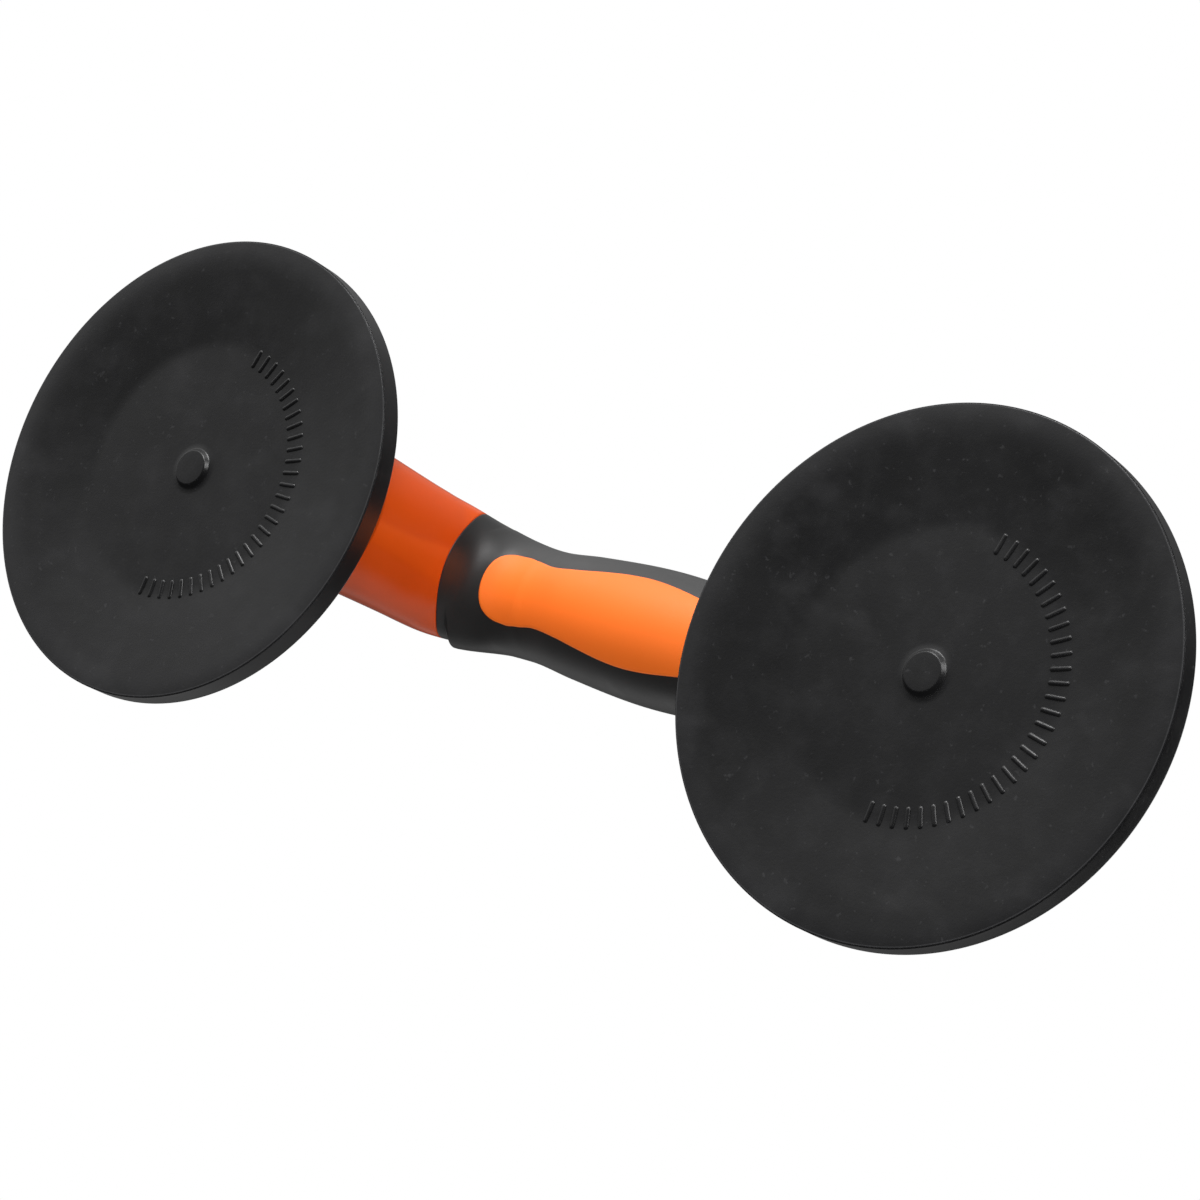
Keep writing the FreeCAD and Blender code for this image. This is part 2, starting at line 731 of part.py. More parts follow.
def inlay_outline(sketch):
    """Rounded bar with a full belly: tangent arcs for the belly, its two waists and the ends."""
    share = "inlay_belly_bow / (inlay_belly_bow + waist_bow)"
    belly_u = "inlay_waist_place * %s" % share
    belly_v = ("(inlay_belly - inlay_belly_bow + (inlay_waist + waist_bow - inlay_belly"
               " + inlay_belly_bow) * %s)" % share)
    end_centre = "(inlay_half_length - inlay_end_radius)"
    end_share = "inlay_end_radius / (inlay_end_radius + waist_bow)"
    end_u = "(%s + (inlay_waist_place - %s) * %s)" % (end_centre, end_centre, end_share)
    end_v = "(inlay_waist + waist_bow) * %s" % end_share
    outline(sketch, [
        (belly_u, belly_v, "inlay_belly_bow"),
        ("-" + belly_u, belly_v, "-waist_bow"),
        ("-" + end_u, end_v, "inlay_end_radius"),
        ("-inlay_half_length", "0", "inlay_end_radius"),
        ("-" + end_u, "-" + end_v, "-waist_bow"),
        ("-" + belly_u, "-" + belly_v, "inlay_belly_bow"),
        (belly_u, "-" + belly_v, "-waist_bow"),
        (end_u, "-" + end_v, "inlay_end_radius"),
        ("inlay_half_length", "0", "inlay_end_radius"),
        (end_u, end_v, "-waist_bow"),
    ])


inlay_skin = joined("Cut", "inlay_skin", Base=arch_proud, Tool=arch_recess)
inlays = []
for name, low in (("lower", "handle_height / 2"), ("upper", "handle_height")):
    prism = new_body("inlay_prism_" + name)
    sketch = sketch_on(prism, "XY_Plane", "inlay_outline_" + name, low)
    inlay_outline(sketch)
    pad(prism, sketch, "inlay_prism_pad_" + name, "handle_height / 2")
    inlay = joined("Common", "inlay_" + name, Base=prism, Tool=inlay_skin)
    keep(inlay, "grip_inlay_" + name)
    inlays.append(inlay)

sleeve_blank = joined("Common", "sleeve_blank", Base=arch_skin, Tool=zone)
sleeve_tools = joined("MultiFuse", "sleeve_tools", Shapes=[arch_core] + inlays)
sleeve = joined("Cut", "sleeve", Base=sleeve_blank, Tool=sleeve_tools)
keep(sleeve, "grip_sleeve")

doc.recompute()

# Checks before anything is written

for thing in doc.Objects:
    if "Invalid" in thing.State or "Error" in thing.State:
        raise ValueError("%s failed: %s" % (thing.Label, thing.State))
for piece in SUBPARTS:
    if piece.Shape.isNull() or not piece.Shape.isValid() or not piece.Shape.Solids:
        raise ValueError("%s has no valid solid" % piece.Label)

os.makedirs("parts", exist_ok=True)
for piece in SUBPARTS:
    piece.Shape.exportStep("parts/%s.step" % piece.Label)
    box = piece.Shape.BoundBox
    print("%-22s %d solid(s) %9.1f mm3  X %.1f..%.1f  Y %.1f..%.1f  Z %.1f..%.1f" % (
        piece.Label, len(piece.Shape.Solids), piece.Shape.Volume,
        box.XMin, box.XMax, box.YMin, box.YMax, box.ZMin, box.ZMax))
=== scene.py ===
# %% [markdown]
# # A two-cup glass lifter
# Two flat rubber discs hang under an arch handle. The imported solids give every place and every
# moving body, and this lesson dresses them: rubber, glossy moulding, soft grip, steel.
# Lengths are written in millimetres where they describe the object, and turned into metres
# once, on the way into a mesh.

# %% Load the frame
import math

import bmesh
import bpy
import numpy as np
from mathutils import Matrix, Vector


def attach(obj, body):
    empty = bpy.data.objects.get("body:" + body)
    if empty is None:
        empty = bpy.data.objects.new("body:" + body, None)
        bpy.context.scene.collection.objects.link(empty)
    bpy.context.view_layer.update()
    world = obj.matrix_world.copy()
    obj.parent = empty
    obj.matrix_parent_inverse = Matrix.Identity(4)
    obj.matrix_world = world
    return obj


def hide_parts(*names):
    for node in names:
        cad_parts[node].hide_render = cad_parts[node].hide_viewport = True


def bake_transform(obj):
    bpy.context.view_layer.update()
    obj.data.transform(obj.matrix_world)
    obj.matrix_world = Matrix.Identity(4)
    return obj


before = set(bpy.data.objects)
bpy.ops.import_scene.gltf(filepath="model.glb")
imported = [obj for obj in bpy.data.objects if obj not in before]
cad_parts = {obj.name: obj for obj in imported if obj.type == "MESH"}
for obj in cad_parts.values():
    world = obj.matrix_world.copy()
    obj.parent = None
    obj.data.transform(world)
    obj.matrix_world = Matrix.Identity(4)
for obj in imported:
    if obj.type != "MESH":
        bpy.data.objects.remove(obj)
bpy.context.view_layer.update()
MM = 0.001
WELD = 0.002  # points nearer than this many millimetres are one point

# %% [markdown]
# ## Grids into meshes
# Nearly every new piece is a grid of points worked out as one numpy array, with rows that run
# one way over the surface and columns that run the other. One helper joins each point to its
# neighbours. Where a grid closes on itself the last column joins the first again, and where a
# row shrinks to one point the doubles are welded, so that a pole is closed.

# %% A grid becomes a mesh
def grid_faces(rows, columns, wrap_rows, wrap_columns):
    """Quads between neighbours: point (i, j) joins (i, j+1), (i+1, j+1) and (i+1, j)."""
    index = np.arange(rows * columns).reshape(rows, columns)
    if wrap_rows:
        index = np.vstack([index, index[:1]])
    if wrap_columns:
        index = np.hstack([index, index[:, :1]])
    corners = [index[:-1, :-1], index[:-1, 1:], index[1:, 1:], index[1:, :-1]]
    return np.stack(corners, -1).reshape(-1, 4)


def new_piece(name, points, faces):
    """A smooth mesh object at the origin from points in millimetres.

    Points that fall together are welded, and the normals are turned to face out of the shell.
    """
    mesh = bpy.data.meshes.new(name)
    mesh.from_pydata((points.reshape(-1, 3) * MM).tolist(), [], faces.tolist())
    shape = bmesh.new()
    shape.from_mesh(mesh)
    bmesh.ops.remove_doubles(shape, verts=shape.verts, dist=WELD * MM)
    bmesh.ops.dissolve_degenerate(shape, edges=shape.edges, dist=WELD * MM)
    bmesh.ops.recalc_face_normals(shape, faces=shape.faces)
    shape.to_mesh(mesh)
    shape.free()
    mesh.polygons.foreach_set("use_smooth", np.ones(len(mesh.polygons), bool))
    piece = bpy.data.objects.new(name, mesh)
    bpy.context.scene.collection.objects.link(piece)
    return piece


def piece_from_grid(name, points, wrap_rows=False, wrap_columns=False):
    """One piece from one grid of points."""
    return new_piece(name, points, grid_faces(*points.shape[:2], wrap_rows, wrap_columns))


print("a grid of 4 by 6 that closes both ways has", len(grid_faces(4, 6, True, True)), "faces")

# %% [markdown]
# ## Rounded profiles
# A turned part is a profile carried round an axis. Real moulded corners are never sharp, so the
# profile is written as plain corners, each with the distance at which its bend starts, and
# every corner is replaced by a curve that touches both of its sides.

# %% Corners into curves
def rounded_profile(corners, steps=7):
    """Replace each corner (u, v, reach) of an open profile by a quadratic curve.

    The curve leaves each side at the reach from the corner, or halfway along the side if that
    is nearer, and the corner is its middle control point: (1 - t)^2 * start
    + 2 t (1 - t) * corner + t^2 * end. A corner with no reach stays as it is.
    """
    made = []
    for index, (u, v, reach) in enumerate(corners):
        here = np.array([u, v], float)
        if reach == 0:
            made.append(here[None])
            continue
        before = np.array(corners[index - 1][:2], float) - here
        after = np.array(corners[index + 1][:2], float) - here
        start = here + before / np.linalg.norm(before) * min(reach, 0.5 * np.linalg.norm(before))
        end = here + after / np.linalg.norm(after) * min(reach, 0.5 * np.linalg.norm(after))
        t = np.linspace(0, 1, steps)[:, None]
        made.append((1 - t) ** 2 * start + 2 * t * (1 - t) * here + t ** 2 * end)
    return np.vstack(made)


def filled_profile(profile, step):
    """Add evenly spaced points on a profile's long stretches, one to two steps apart."""
    parts = []
    for start, end in zip(profile[:-1], profile[1:]):
        count = max(1, int(np.linalg.norm(end - start) / step))
        parts.append(start + (end - start) * np.arange(count)[:, None] / count)
    parts.append(profile[-1:])
    return np.vstack(parts)


def turned(profile, centre_x, segments):
    """Carry a profile (radius, height) round the vertical axis through (centre_x, 0).

    x = centre_x + radius * cos(angle), y = radius * sin(angle), z = height.
    """
    angle = np.linspace(0, 2 * np.pi, segments, endpoint=False)
    radius, height = profile[:, :1], profile[:, 1:]
    return np.stack([centre_x + radius * np.cos(angle), radius * np.sin(angle),
                     height + 0 * angle], -1)


print("a right angle becomes", len(rounded_profile([(0, 0, 0), (1, 0, 0.2), (1, 1, 0)])), "points")

# %% [markdown]
# ## Finishes as Python expressions
# A finish is a node tree, and trees are hard to read as code. `Number` wraps one socket, so
# that `1 - grain * 0.3` adds the Math nodes by itself. Colours are written as they look on a
# screen, and turned once into the light values that nodes work with.

# %% Colours and numbers
def linear(red, green, blue):
    """A colour written as it looks on a screen, turned into the light values that nodes use.

    A channel up to 0.04045 is divided by 12.92, and above that it is ((c + 0.055) / 1.055)^2.4.
    """
    channel = np.array([red, green, blue], float)
    low, high = channel / 12.92, ((channel + 0.055) / 1.055) ** 2.4
    return tuple(np.where(channel <= 0.04045, low, high)) + (1.0,)


class Number:
    """One number that varies over a surface. Arithmetic on it adds Math nodes."""

    def __init__(self, finish, socket):
        self.finish, self.socket = finish, socket

    def maths(self, operation, *values):
        """One Math node: its operation, then its values in order."""
        node = self.finish.add("ShaderNodeMath", {"operation": operation}, dict(enumerate(values)))
        return Number(self.finish, node.outputs[0])

    def __add__(self, other):
        return self.maths("ADD", self, other)

    def __sub__(self, other):
        return self.maths("SUBTRACT", self, other)

    def __rsub__(self, other):
        return self.maths("SUBTRACT", other, self)

    def __mul__(self, other):
        return self.maths("MULTIPLY", self, other)

    __radd__, __rmul__ = __add__, __mul__

    def __truediv__(self, other):
        return self.maths("DIVIDE", self, other)

    def __rtruediv__(self, other):
        return self.maths("DIVIDE", other, self)

    def __abs__(self):
        return self.maths("ABSOLUTE", self)

    def bell(self, middle, width):
        """1 where the number is at middle, falling smoothly to 0 at width either side."""
        near = (1 - abs(self - middle) / width).maths_max(0)
        return near * near * (3 - 2 * near)

    def maths_max(self, other):
        """The larger of two numbers."""
        return self.maths("MAXIMUM", self, other)

    def step(self, low, high):
        """0 below low, 1 above high, and smooth between."""
        node = self.finish.add("ShaderNodeMapRange", {"interpolation_type": "SMOOTHSTEP"},
                               {"Value": self, "From Min": low, "From Max": high})
        return Number(self.finish, node.outputs[0])


print("half grey on a screen is %.3f in light" % linear(0.5, 0.5, 0.5)[0])

# %% [markdown]
# ## Node trees
# `Nodes` holds a tree and has one method, `add`, that makes any node in it. A material and the
# world are both trees, so both use it. `Finish` is a material: what is the same all over is set
# on the shader's own sockets, and only what varies over the surface is linked in.

# %% Trees and finishes
class Nodes:
    """A node tree with one method that makes any node in it."""

    def __init__(self, tree):
        self.tree = tree

    def add(self, kind, settings=None, sockets=None):
        """Any node: its type, its settings, then values or links for its sockets."""
        node = self.tree.nodes.new(kind)
        for key, value in (settings or {}).items():
            setattr(node, key, value)
        for key, value in (sockets or {}).items():
            if isinstance(value, Number):
                value = value.socket
            if isinstance(value, bpy.types.NodeSocket):
                self.tree.links.new(value, node.inputs[key])
            else:
                node.inputs[key].default_value = value
        return node

    def facing(self, way, direction):
        """How nearly a vector points along a direction: their dot product."""
        settings = {"operation": "DOT_PRODUCT"}
        node = self.add("ShaderNodeVectorMath", settings, {0: way, 1: direction})
        return Number(self, node.outputs["Value"])


class Finish(Nodes):
    """A material with a Principled shader, whose constants are set on its own sockets."""

    def __init__(self, name, **constants):
        self.material = bpy.data.materials.new(name)
        self.material.use_nodes = True
        super().__init__(self.material.node_tree)
        self.shader = self.tree.nodes["Principled BSDF"]
        for socket, value in constants.items():
            self.shader.inputs[socket.replace("_", " ")].default_value = value
        self.place = self.add("ShaderNodeTexCoord").outputs["Object"]

    def feed(self, socket, value):
        """Link a number or a colour into the shader."""
        source = value.socket if isinstance(value, Number) else value
        self.tree.links.new(source, self.shader.inputs[socket])

    def noise(self, scale, detail=2.0, roughness=0.5, stretch=None):
        """Noise from 0 to 1 on the object's own coordinates, with about scale blobs to the metre.

        A stretch above 1 along an axis makes the blobs that much shorter along it.
        """
        place = self.place
        if stretch:
            mapping = self.add("ShaderNodeMapping", None, {"Vector": place, "Scale": stretch})
            place = mapping.outputs[0]
        node = self.add("ShaderNodeTexNoise", None,
                        {"Vector": place, "Scale": scale, "Detail": detail, "Roughness": roughness})
        return Number(self, node.outputs["Fac"])

    def axes(self):
        """The object coordinates as three numbers, in metres."""
        node = self.add("ShaderNodeSeparateXYZ", None, {0: self.place})
        return [Number(self, socket) for socket in node.outputs]

    def mixed(self, share, first, second):
        """A colour that goes from first to second as share goes from 0 to 1.

        The Mix node numbers its sockets by type: 6 and 7 are the colours, and output 2 is theirs.
        """
        node = self.add("ShaderNodeMix", {"data_type": "RGBA", "clamp_factor": True},
                        {0: share, 6: first, 7: second})
        return node.outputs[2]

    def bump(self, height, depth):
        """Feed a bump whose height of 1 stands depth metres proud."""
        sockets = {"Height": height, "Distance": depth, "Strength": 1.0}
        node = self.add("ShaderNodeBump", None, sockets)
        self.tree.links.new(node.outputs[0], self.shader.inputs["Normal"])

# %% [markdown]
# ## The camera
# The photograph looks up at the lifter from below and from one end, with a long lens. Its place
# was fitted to the two disc outlines, so the discs fall on the same pixels here.

# %% Camera
CAMERA_PLACE = np.array([490.48, 95.31, -619.86])
CAMERA_RIGHT = (0.77222907, -0.35307165, 0.52820704)
CAMERA_DOWN = (0.21873751, 0.9282921, 0.30071194)
CAMERA_AHEAD = (-0.59650328, -0.11667981, 0.79408416)
SENSOR = 36.0
FOCAL_PIXELS, PHOTO_PIXELS = 3468.6, 1200
CLIP_NEAR, CLIP_FAR = 0.05, 20  # metres

camera = bpy.data.objects.new("camera", bpy.data.cameras.new("camera"))
camera.data.sensor_width = SENSOR
camera.data.lens = SENSOR * FOCAL_PIXELS / PHOTO_PIXELS
turn = Matrix((CAMERA_RIGHT, [-part for part in CAMERA_DOWN], [-part for part in CAMERA_AHEAD]))
camera.matrix_world = Matrix.Translation(Vector(CAMERA_PLACE * MM)) @ turn.transposed().to_4x4()
camera.data.clip_start, camera.data.clip_end = CLIP_NEAR, CLIP_FAR
bpy.context.scene.collection.objects.link(camera)
bpy.context.scene.camera = camera
print("lens %.1f mm" % camera.data.lens)

# %% [markdown]
# ## The rubber discs
# Each disc is one moulding: a flat sealing lip, a slope, a plateau a little higher than the lip
# and, in the middle, the button over the end of the stud. All of it is turned, so it is one
# profile carried round. The profile goes out over the face, up the rim, back over the top and
# round the steel plate that is moulded in.

# %% Disc profile
DISC_PLACE = 110.0
SEGMENTS = 288
PROFILE_STEP = 1.6

DISC_CORNERS = [
    # button over the stud, its root, and the plateau: radius, height, reach of the bend
    (0.0, 1.25, 0), (4.45, 1.25, 0.25), (5.25, 2.35, 0.3), (6.4, 2.5, 0.45), (33.0, 2.5, 1.6),
    # slope down to the lip, and the lip's small step
    (55.0, 0.0, 6.0), (59.72, 0.0, 0.1), (59.76, 0.4, 0.08), (59.9, 0.4, 0.05),
    # rim and shoulder
    (60.0, 0.3, 0.06), (60.0, 6.0, 0.7), (50.0, 7.2, 2.0), (47.0, 9.0, 1.2),
    # back, with the groove that lets the middle move
    (38.0, 9.0, 0.4), (35.0, 6.5, 1.5), (27.0, 6.5, 1.5), (24.0, 9.0, 0.6), (13.06, 9.0, 0.3),
    # pocket round the steel plate
    (13.06, 6.86, 0), (20.06, 6.86, 0), (20.06, 4.74, 0), (0.0, 4.74, 0),
]
disc_profile = filled_profile(rounded_profile(DISC_CORNERS), PROFILE_STEP)
print("disc profile points:", len(disc_profile))

# %% [markdown]
# ### The middle of a disc moves
# When a lever opens, the stud pushes the middle of the rubber down while the rim stays. Here
# each disc piece only has its place baked into its mesh, and no point of it is tied to the stud.


def follow_stud(thing):
    """Bake a rubber piece's place into its mesh and read its points; nothing ties it to the stud.
    """
    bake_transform(thing)
    points = np.empty(len(thing.data.vertices) * 3)
    thing.data.vertices.foreach_get("co", points)


SIDES = {"right": 1, "left": -1}
discs = {}
for name, side in SIDES.items():
    points = turned(disc_profile, side * DISC_PLACE, SEGMENTS)
    disc = piece_from_grid(name + "_disc_rubber", points, wrap_columns=True)
    discs[name] = disc
    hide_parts(name + "_suction_disc")
    follow_stud(disc)
    print(disc.name, len(disc.data.polygons), "faces")

# %% [markdown]
# ## Raised bars on the face
# The plateau carries an arc of small raised marks. Plain rounded bars stand there, each a
# squashed capsule pressed a little into the rubber. One bar is a grid, and an array of places
# round the arc repeats it.

# %% Bars round the arc
BAR_ARC = (-78.0, 92.0)
BAR_COUNT = 31
BAR_RADIUS, BAR_LENGTH, BAR_WIDTH, BAR_PROUD = 31.6, 5.4, 1.2, 0.4
BAR_SUNK = 0.2  # part of its height by which a bar's root lies inside the rubber
PLATEAU = 2.5


def bar_points(across=9, along=14):
    """Half a capsule lying along u: its section is an ellipse that shrinks round each end.

    Over the last half width the size is root(1 - end^2), with end from 0 to 1. Then
    v = half width * size * cos(angle) and w = height * size * sin(angle), less what is sunk.
    """
    t = np.linspace(0, 1, along)
    u = (t - 0.5) * BAR_LENGTH
    end = np.clip((np.abs(u) - (BAR_LENGTH - BAR_WIDTH) / 2) / (BAR_WIDTH / 2), 0, 1)
    size = np.sqrt(np.clip(1 - end ** 2, 0, 1))
    angle = np.linspace(0, np.pi, across)
    v = 0.5 * BAR_WIDTH * size[:, None] * np.cos(angle)
    w = BAR_PROUD * (1 + BAR_SUNK) * size[:, None] * np.sin(angle) - BAR_SUNK * BAR_PROUD
    return u[:, None] + 0 * v, v, w


def bars_piece(name, side):
    """Copy one bar to every place, turned so that its length points at the disc's centre.

    x = place + (radius + u) * cos(spot) - v * sin(spot), y = (radius + u) * sin(spot)
    + v * cos(spot), and z is the plateau less w, because the face looks down.
    """
    u, v, w = bar_points()
    rows, columns = u.shape
    spots = np.radians(np.linspace(*BAR_ARC, BAR_COUNT))[:, None, None]
    radius = BAR_RADIUS + u
    x = side * DISC_PLACE + radius * np.cos(spots) - v * np.sin(spots)
    y = radius * np.sin(spots) + v * np.cos(spots)
    z = PLATEAU - w + 0 * spots
    points = np.stack([x, y, z], -1).reshape(-1, 3)
    one = grid_faces(rows, columns, False, True)
    faces = (one[None] + (np.arange(BAR_COUNT) * rows * columns)[:, None, None]).reshape(-1, 4)
    return new_piece(name, points, faces)


for name, side in SIDES.items():
    bars = bars_piece(name + "_disc_bars", side)
    follow_stud(bars)
    discs[name + "_bars"] = bars
print("bars on each disc:", BAR_COUNT)

# %% [markdown]
# ## The arch
# Handle and legs are one smooth body: a section carried along a line that rises up a leg, turns
# a quarter circle and runs level to the other side. At each station the section has a half
# width across, a half depth on the inner side of the arch and another on the outer side. A
# smooth curve through the stations gives the sizes between them.

# %% Arch line and sections
LEG_PLACE, HANDLE_HEIGHT, BEND_RADIUS, FOOT_HEIGHT = 61.7, 64.5, 24.0, 8.0
LEG_RUN = HANDLE_HEIGHT - BEND_RADIUS - FOOT_HEIGHT
BEND_RUN = BEND_RADIUS * math.pi / 2
HALF_RUN = LEG_RUN + BEND_RUN + LEG_PLACE - BEND_RADIUS
HEEL = LEG_RUN + BEND_RUN

STATION = [0, 15, 26, LEG_RUN, LEG_RUN + 9.5, LEG_RUN + BEND_RUN / 2, HEEL - 9, HEEL, HEEL + 3,
           HEEL + 14, HALF_RUN]
HALF_WIDTH = [18.3, 17.8, 17.5, 17.4, 17.1, 15.95, 14.8, 14.4, 14.5, 15.7, 17.1]
INNER_DEPTH = [11.0, 10.5, 10.0, 10.05, 10.35, 11.8, 13.55, 14.45, 14.5, 16.9, 19.0]
OUTER_DEPTH = [11.0, 10.5, 10.0, 10.1, 13.1, 15.8, 15.5, 14.0, 13.9, 13.7, 14.2]
CORNER_FLAT, FLAT_PLACE, FLAT_LENGTH = 0.75, HEEL - 14, 10.0


def smooth_curve(stations, sizes, s):
    """Cubic pieces through the stations, each with the sizes and slopes of its two ends.

    A station's slope is the mean of the slopes of the two straight chords beside it. It is the
    chord's own at the first station, and 0 at the last and where sizes turn back or stay level.
    """
    stations, sizes = np.array(stations, float), np.array(sizes, float)
    chord = np.diff(sizes) / np.diff(stations)
    slope = np.concatenate([[chord[0]], (chord[:-1] + chord[1:]) / 2, [0.0]])
    turns_back = np.concatenate([[False], chord[:-1] * chord[1:] <= 0, [False]])
    slope = np.where(turns_back, 0, slope)
    piece = np.clip(np.searchsorted(stations, s) - 1, 0, len(chord) - 1)
    width = stations[piece + 1] - stations[piece]
    t = (s - stations[piece]) / width
    start_size = (2 * t ** 3 - 3 * t ** 2 + 1) * sizes[piece]
    start_slope = (t ** 3 - 2 * t ** 2 + t) * width * slope[piece]
    end_size = (3 * t ** 2 - 2 * t ** 3) * sizes[piece + 1]
    end_slope = (t ** 3 - t ** 2) * width * slope[piece + 1]
    return start_size + start_slope + end_size + end_slope


def arch_point(s, theta, offset=0.0):
    """A point of the arch at run s from the left foot and angle theta round the section.

    The line runs up the leg, round the bend and along the handle; past the middle it is the
    mirror image. Theta 0 faces the inside of the arch and 90 degrees faces +Y. The section is
    half width * sin(theta) across and inner or outer depth * cos(theta) deep, and offset moves
    every point outwards by that much. Through the bend the inner side is a little flatter at
    its corners: flat * exp(-(run from its middle / length)^2) * sin(2 theta)^2 comes off there.
    """
    s, theta, offset = np.broadcast_arrays(np.asarray(s, float), theta, offset)
    mirror = s > HALF_RUN
    s = np.where(mirror, 2 * HALF_RUN - s, s)
    bend = np.clip((s - LEG_RUN) / BEND_RADIUS, 0, math.pi / 2)
    level = np.maximum(s - HEEL, 0)
    inner_x, inner_z = np.cos(bend), -np.sin(bend)
    line_x = -LEG_PLACE + BEND_RADIUS * (1 - inner_x) + level
    line_z = FOOT_HEIGHT + np.minimum(s, LEG_RUN) - BEND_RADIUS * inner_z
    corner = CORNER_FLAT * np.exp(-((s - FLAT_PLACE) / FLAT_LENGTH) ** 2) * np.sin(2 * theta) ** 2
    offset = offset - np.where(np.cos(theta) > 0, corner, 0)
    width = smooth_curve(STATION, HALF_WIDTH, s) + offset
    depth = np.where(np.cos(theta) > 0, smooth_curve(STATION, INNER_DEPTH, s),
                     smooth_curve(STATION, OUTER_DEPTH, s)) + offset
    x = line_x + inner_x * depth * np.cos(theta)
    z = line_z + inner_z * depth * np.cos(theta)
    return np.stack([np.where(mirror, -x, x), width * np.sin(theta), z], -1)


print("arch run: %.1f mm from foot to foot" % (2 * HALF_RUN))

# %% [markdown]
# ## Where the sleeve meets the legs
# The seam between the black sleeve and the glossy leg is not square to the arch. It lies in a
# plane that leans outwards as it rises, so for every angle round the section the run at which
# the surface crosses that plane is found first, and leg and sleeve meet there.

# %% Seam
SEAM_PLACE, SEAM_HEIGHT, SEAM_LEAN = 58.4, 55.0, 0.371
SEARCH_FROM, SEARCH_TO, SEARCH_STEPS = LEG_RUN - 14, HEEL + 4, 400
AROUND = 192
theta_ring = np.linspace(0, 2 * np.pi, AROUND, endpoint=False)


def seam_run(theta):
    """The run where the surface crosses the seam's plane, by straight interpolation.

    A point is beyond the plane when x + place + lean * (z - height) is above 0.
    """
    runs = np.linspace(SEARCH_FROM, SEARCH_TO, SEARCH_STEPS)
    points = arch_point(runs[:, None], theta[None, :])
    beyond = points[..., 0] + SEAM_PLACE + SEAM_LEAN * (points[..., 2] - SEAM_HEIGHT)
    first = np.argmax(beyond > 0, axis=0)
    columns = np.arange(len(theta))
    low, high = beyond[first - 1, columns], beyond[first, columns]
    return runs[first - 1] + (runs[first] - runs[first - 1]) * (-low / (high - low))


seam_ring = seam_run(theta_ring)
print("seam crosses the arch %.1f to %.1f mm from the foot" % (seam_ring.min(), seam_ring.max()))

# %% [markdown]
# ## The black sleeve
# The sleeve is soft rubber moulded over the core. Its edge rolls in at the seam, and a few
# millimetres further on its sides step up to their full thickness. The grid runs from seam to
# seam over the outside and back through the inside, so that the sleeve is a closed wall.

# %% Sleeve height
EDGE_ROLL = 0.7
COLLAR_WIDTH, COLLAR_LEAN = 5.5, 2.5
STEP_HEIGHT, STEP_LEAN, STEP_LEAST, STEP_LENGTH, STEP_FADE = 0.55, 1.1, 0.1, 1.1, 14.0
INNER_FADE, OUTER_FADE = (0.15, 0.6), (0.22, 0.5)


def ramp(low, high, value):
    """0 below low, 1 above high, and 3 t^2 - 2 t^3 between."""
    t = np.clip((value - low) / (high - low), 0, 1)
    return t * t * (3 - 2 * t)


def sleeve_offset(from_seam, theta):
    """Height of the sleeve over the plain arch.

    A collar lies flush with the leg, its edge rolled in by a quarter ellipse. Past the collar
    the sides step up at once, the +Y side by more, and fade back slowly. The inner and the
    outer side, where the two inlays lie, have no step.
    """
    roll = np.clip(1 - from_seam / EDGE_ROLL, 0, 1)
    collar = COLLAR_WIDTH - COLLAR_LEAN * np.sin(theta)
    sides = ramp(*INNER_FADE, 1 - np.cos(theta)) * ramp(*OUTER_FADE, 1 + np.cos(theta))
    rise = ramp(collar, collar + STEP_LENGTH, from_seam)
    step = rise * (1 - ramp(collar, collar + STEP_FADE, from_seam))
    height = np.maximum(STEP_HEIGHT + STEP_LEAN * np.sin(theta), STEP_LEAST)
    return -0.5 * EDGE_ROLL * (1 - np.sqrt(1 - roll ** 2)) + height * step * sides


print("step on the +Y side: %.2f mm" % (STEP_HEIGHT + STEP_LEAN))

# %% [markdown]
# ### Rows where they are needed
# The rolled edge and the step are small, so rows stand close together there and wider apart
# along the grip. The inside is never seen and has one row in eight.

# %% Sleeve
SLEEVE_WALL = 3.2
EDGE_ROWS, STEP_ROWS, GRIP_ROWS = (0, 0.008, 7), (0.011, 0.06, 30), (0.066, 0.5, 70)
INSIDE_SKIP = 8


def sleeve_grid():
    """Rows from seam to seam over the outside, and back through the inside.

    The run of a row is start + (end - start) * share, where start and end are the two seams'
    runs at that angle. The second half of the shares mirrors the first.
    """
    half = np.concatenate([np.linspace(*rows) for rows in (EDGE_ROWS, STEP_ROWS, GRIP_ROWS)])
    share = np.concatenate([half, 1 - half[-2::-1]])[:, None]
    theta = theta_ring[None, :]
    start, end = seam_ring[None, :], 2 * HALF_RUN - seam_ring[None, :]
    s = start + (end - start) * share
    from_seam = np.minimum(s - start, end - s)
    outside = arch_point(s, theta, sleeve_offset(from_seam, theta))
    inside = arch_point(s[::-INSIDE_SKIP], theta, -SLEEVE_WALL)
    return np.concatenate([outside, inside], 0)


sleeve = piece_from_grid("handle_sleeve", sleeve_grid(), wrap_rows=True, wrap_columns=True)
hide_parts("grip_sleeve")
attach(sleeve, "body")
print(sleeve.name, len(sleeve.data.polygons), "faces")

# %% [markdown]
# ## The orange inlays
# A tongue of softer orange rubber lies in the sleeve on its underside, and another on top. Its
# outline has a round end, a waist and a full belly. Half its width is a function of the run
# along the arch, so the distance from any point to the outline is known, and the edge can be
# rolled over evenly all the way round. The outer side of the bend is much longer than the inner
# one, so the upper tongue's ends are drawn in along the run, and lie right above the lower ones.

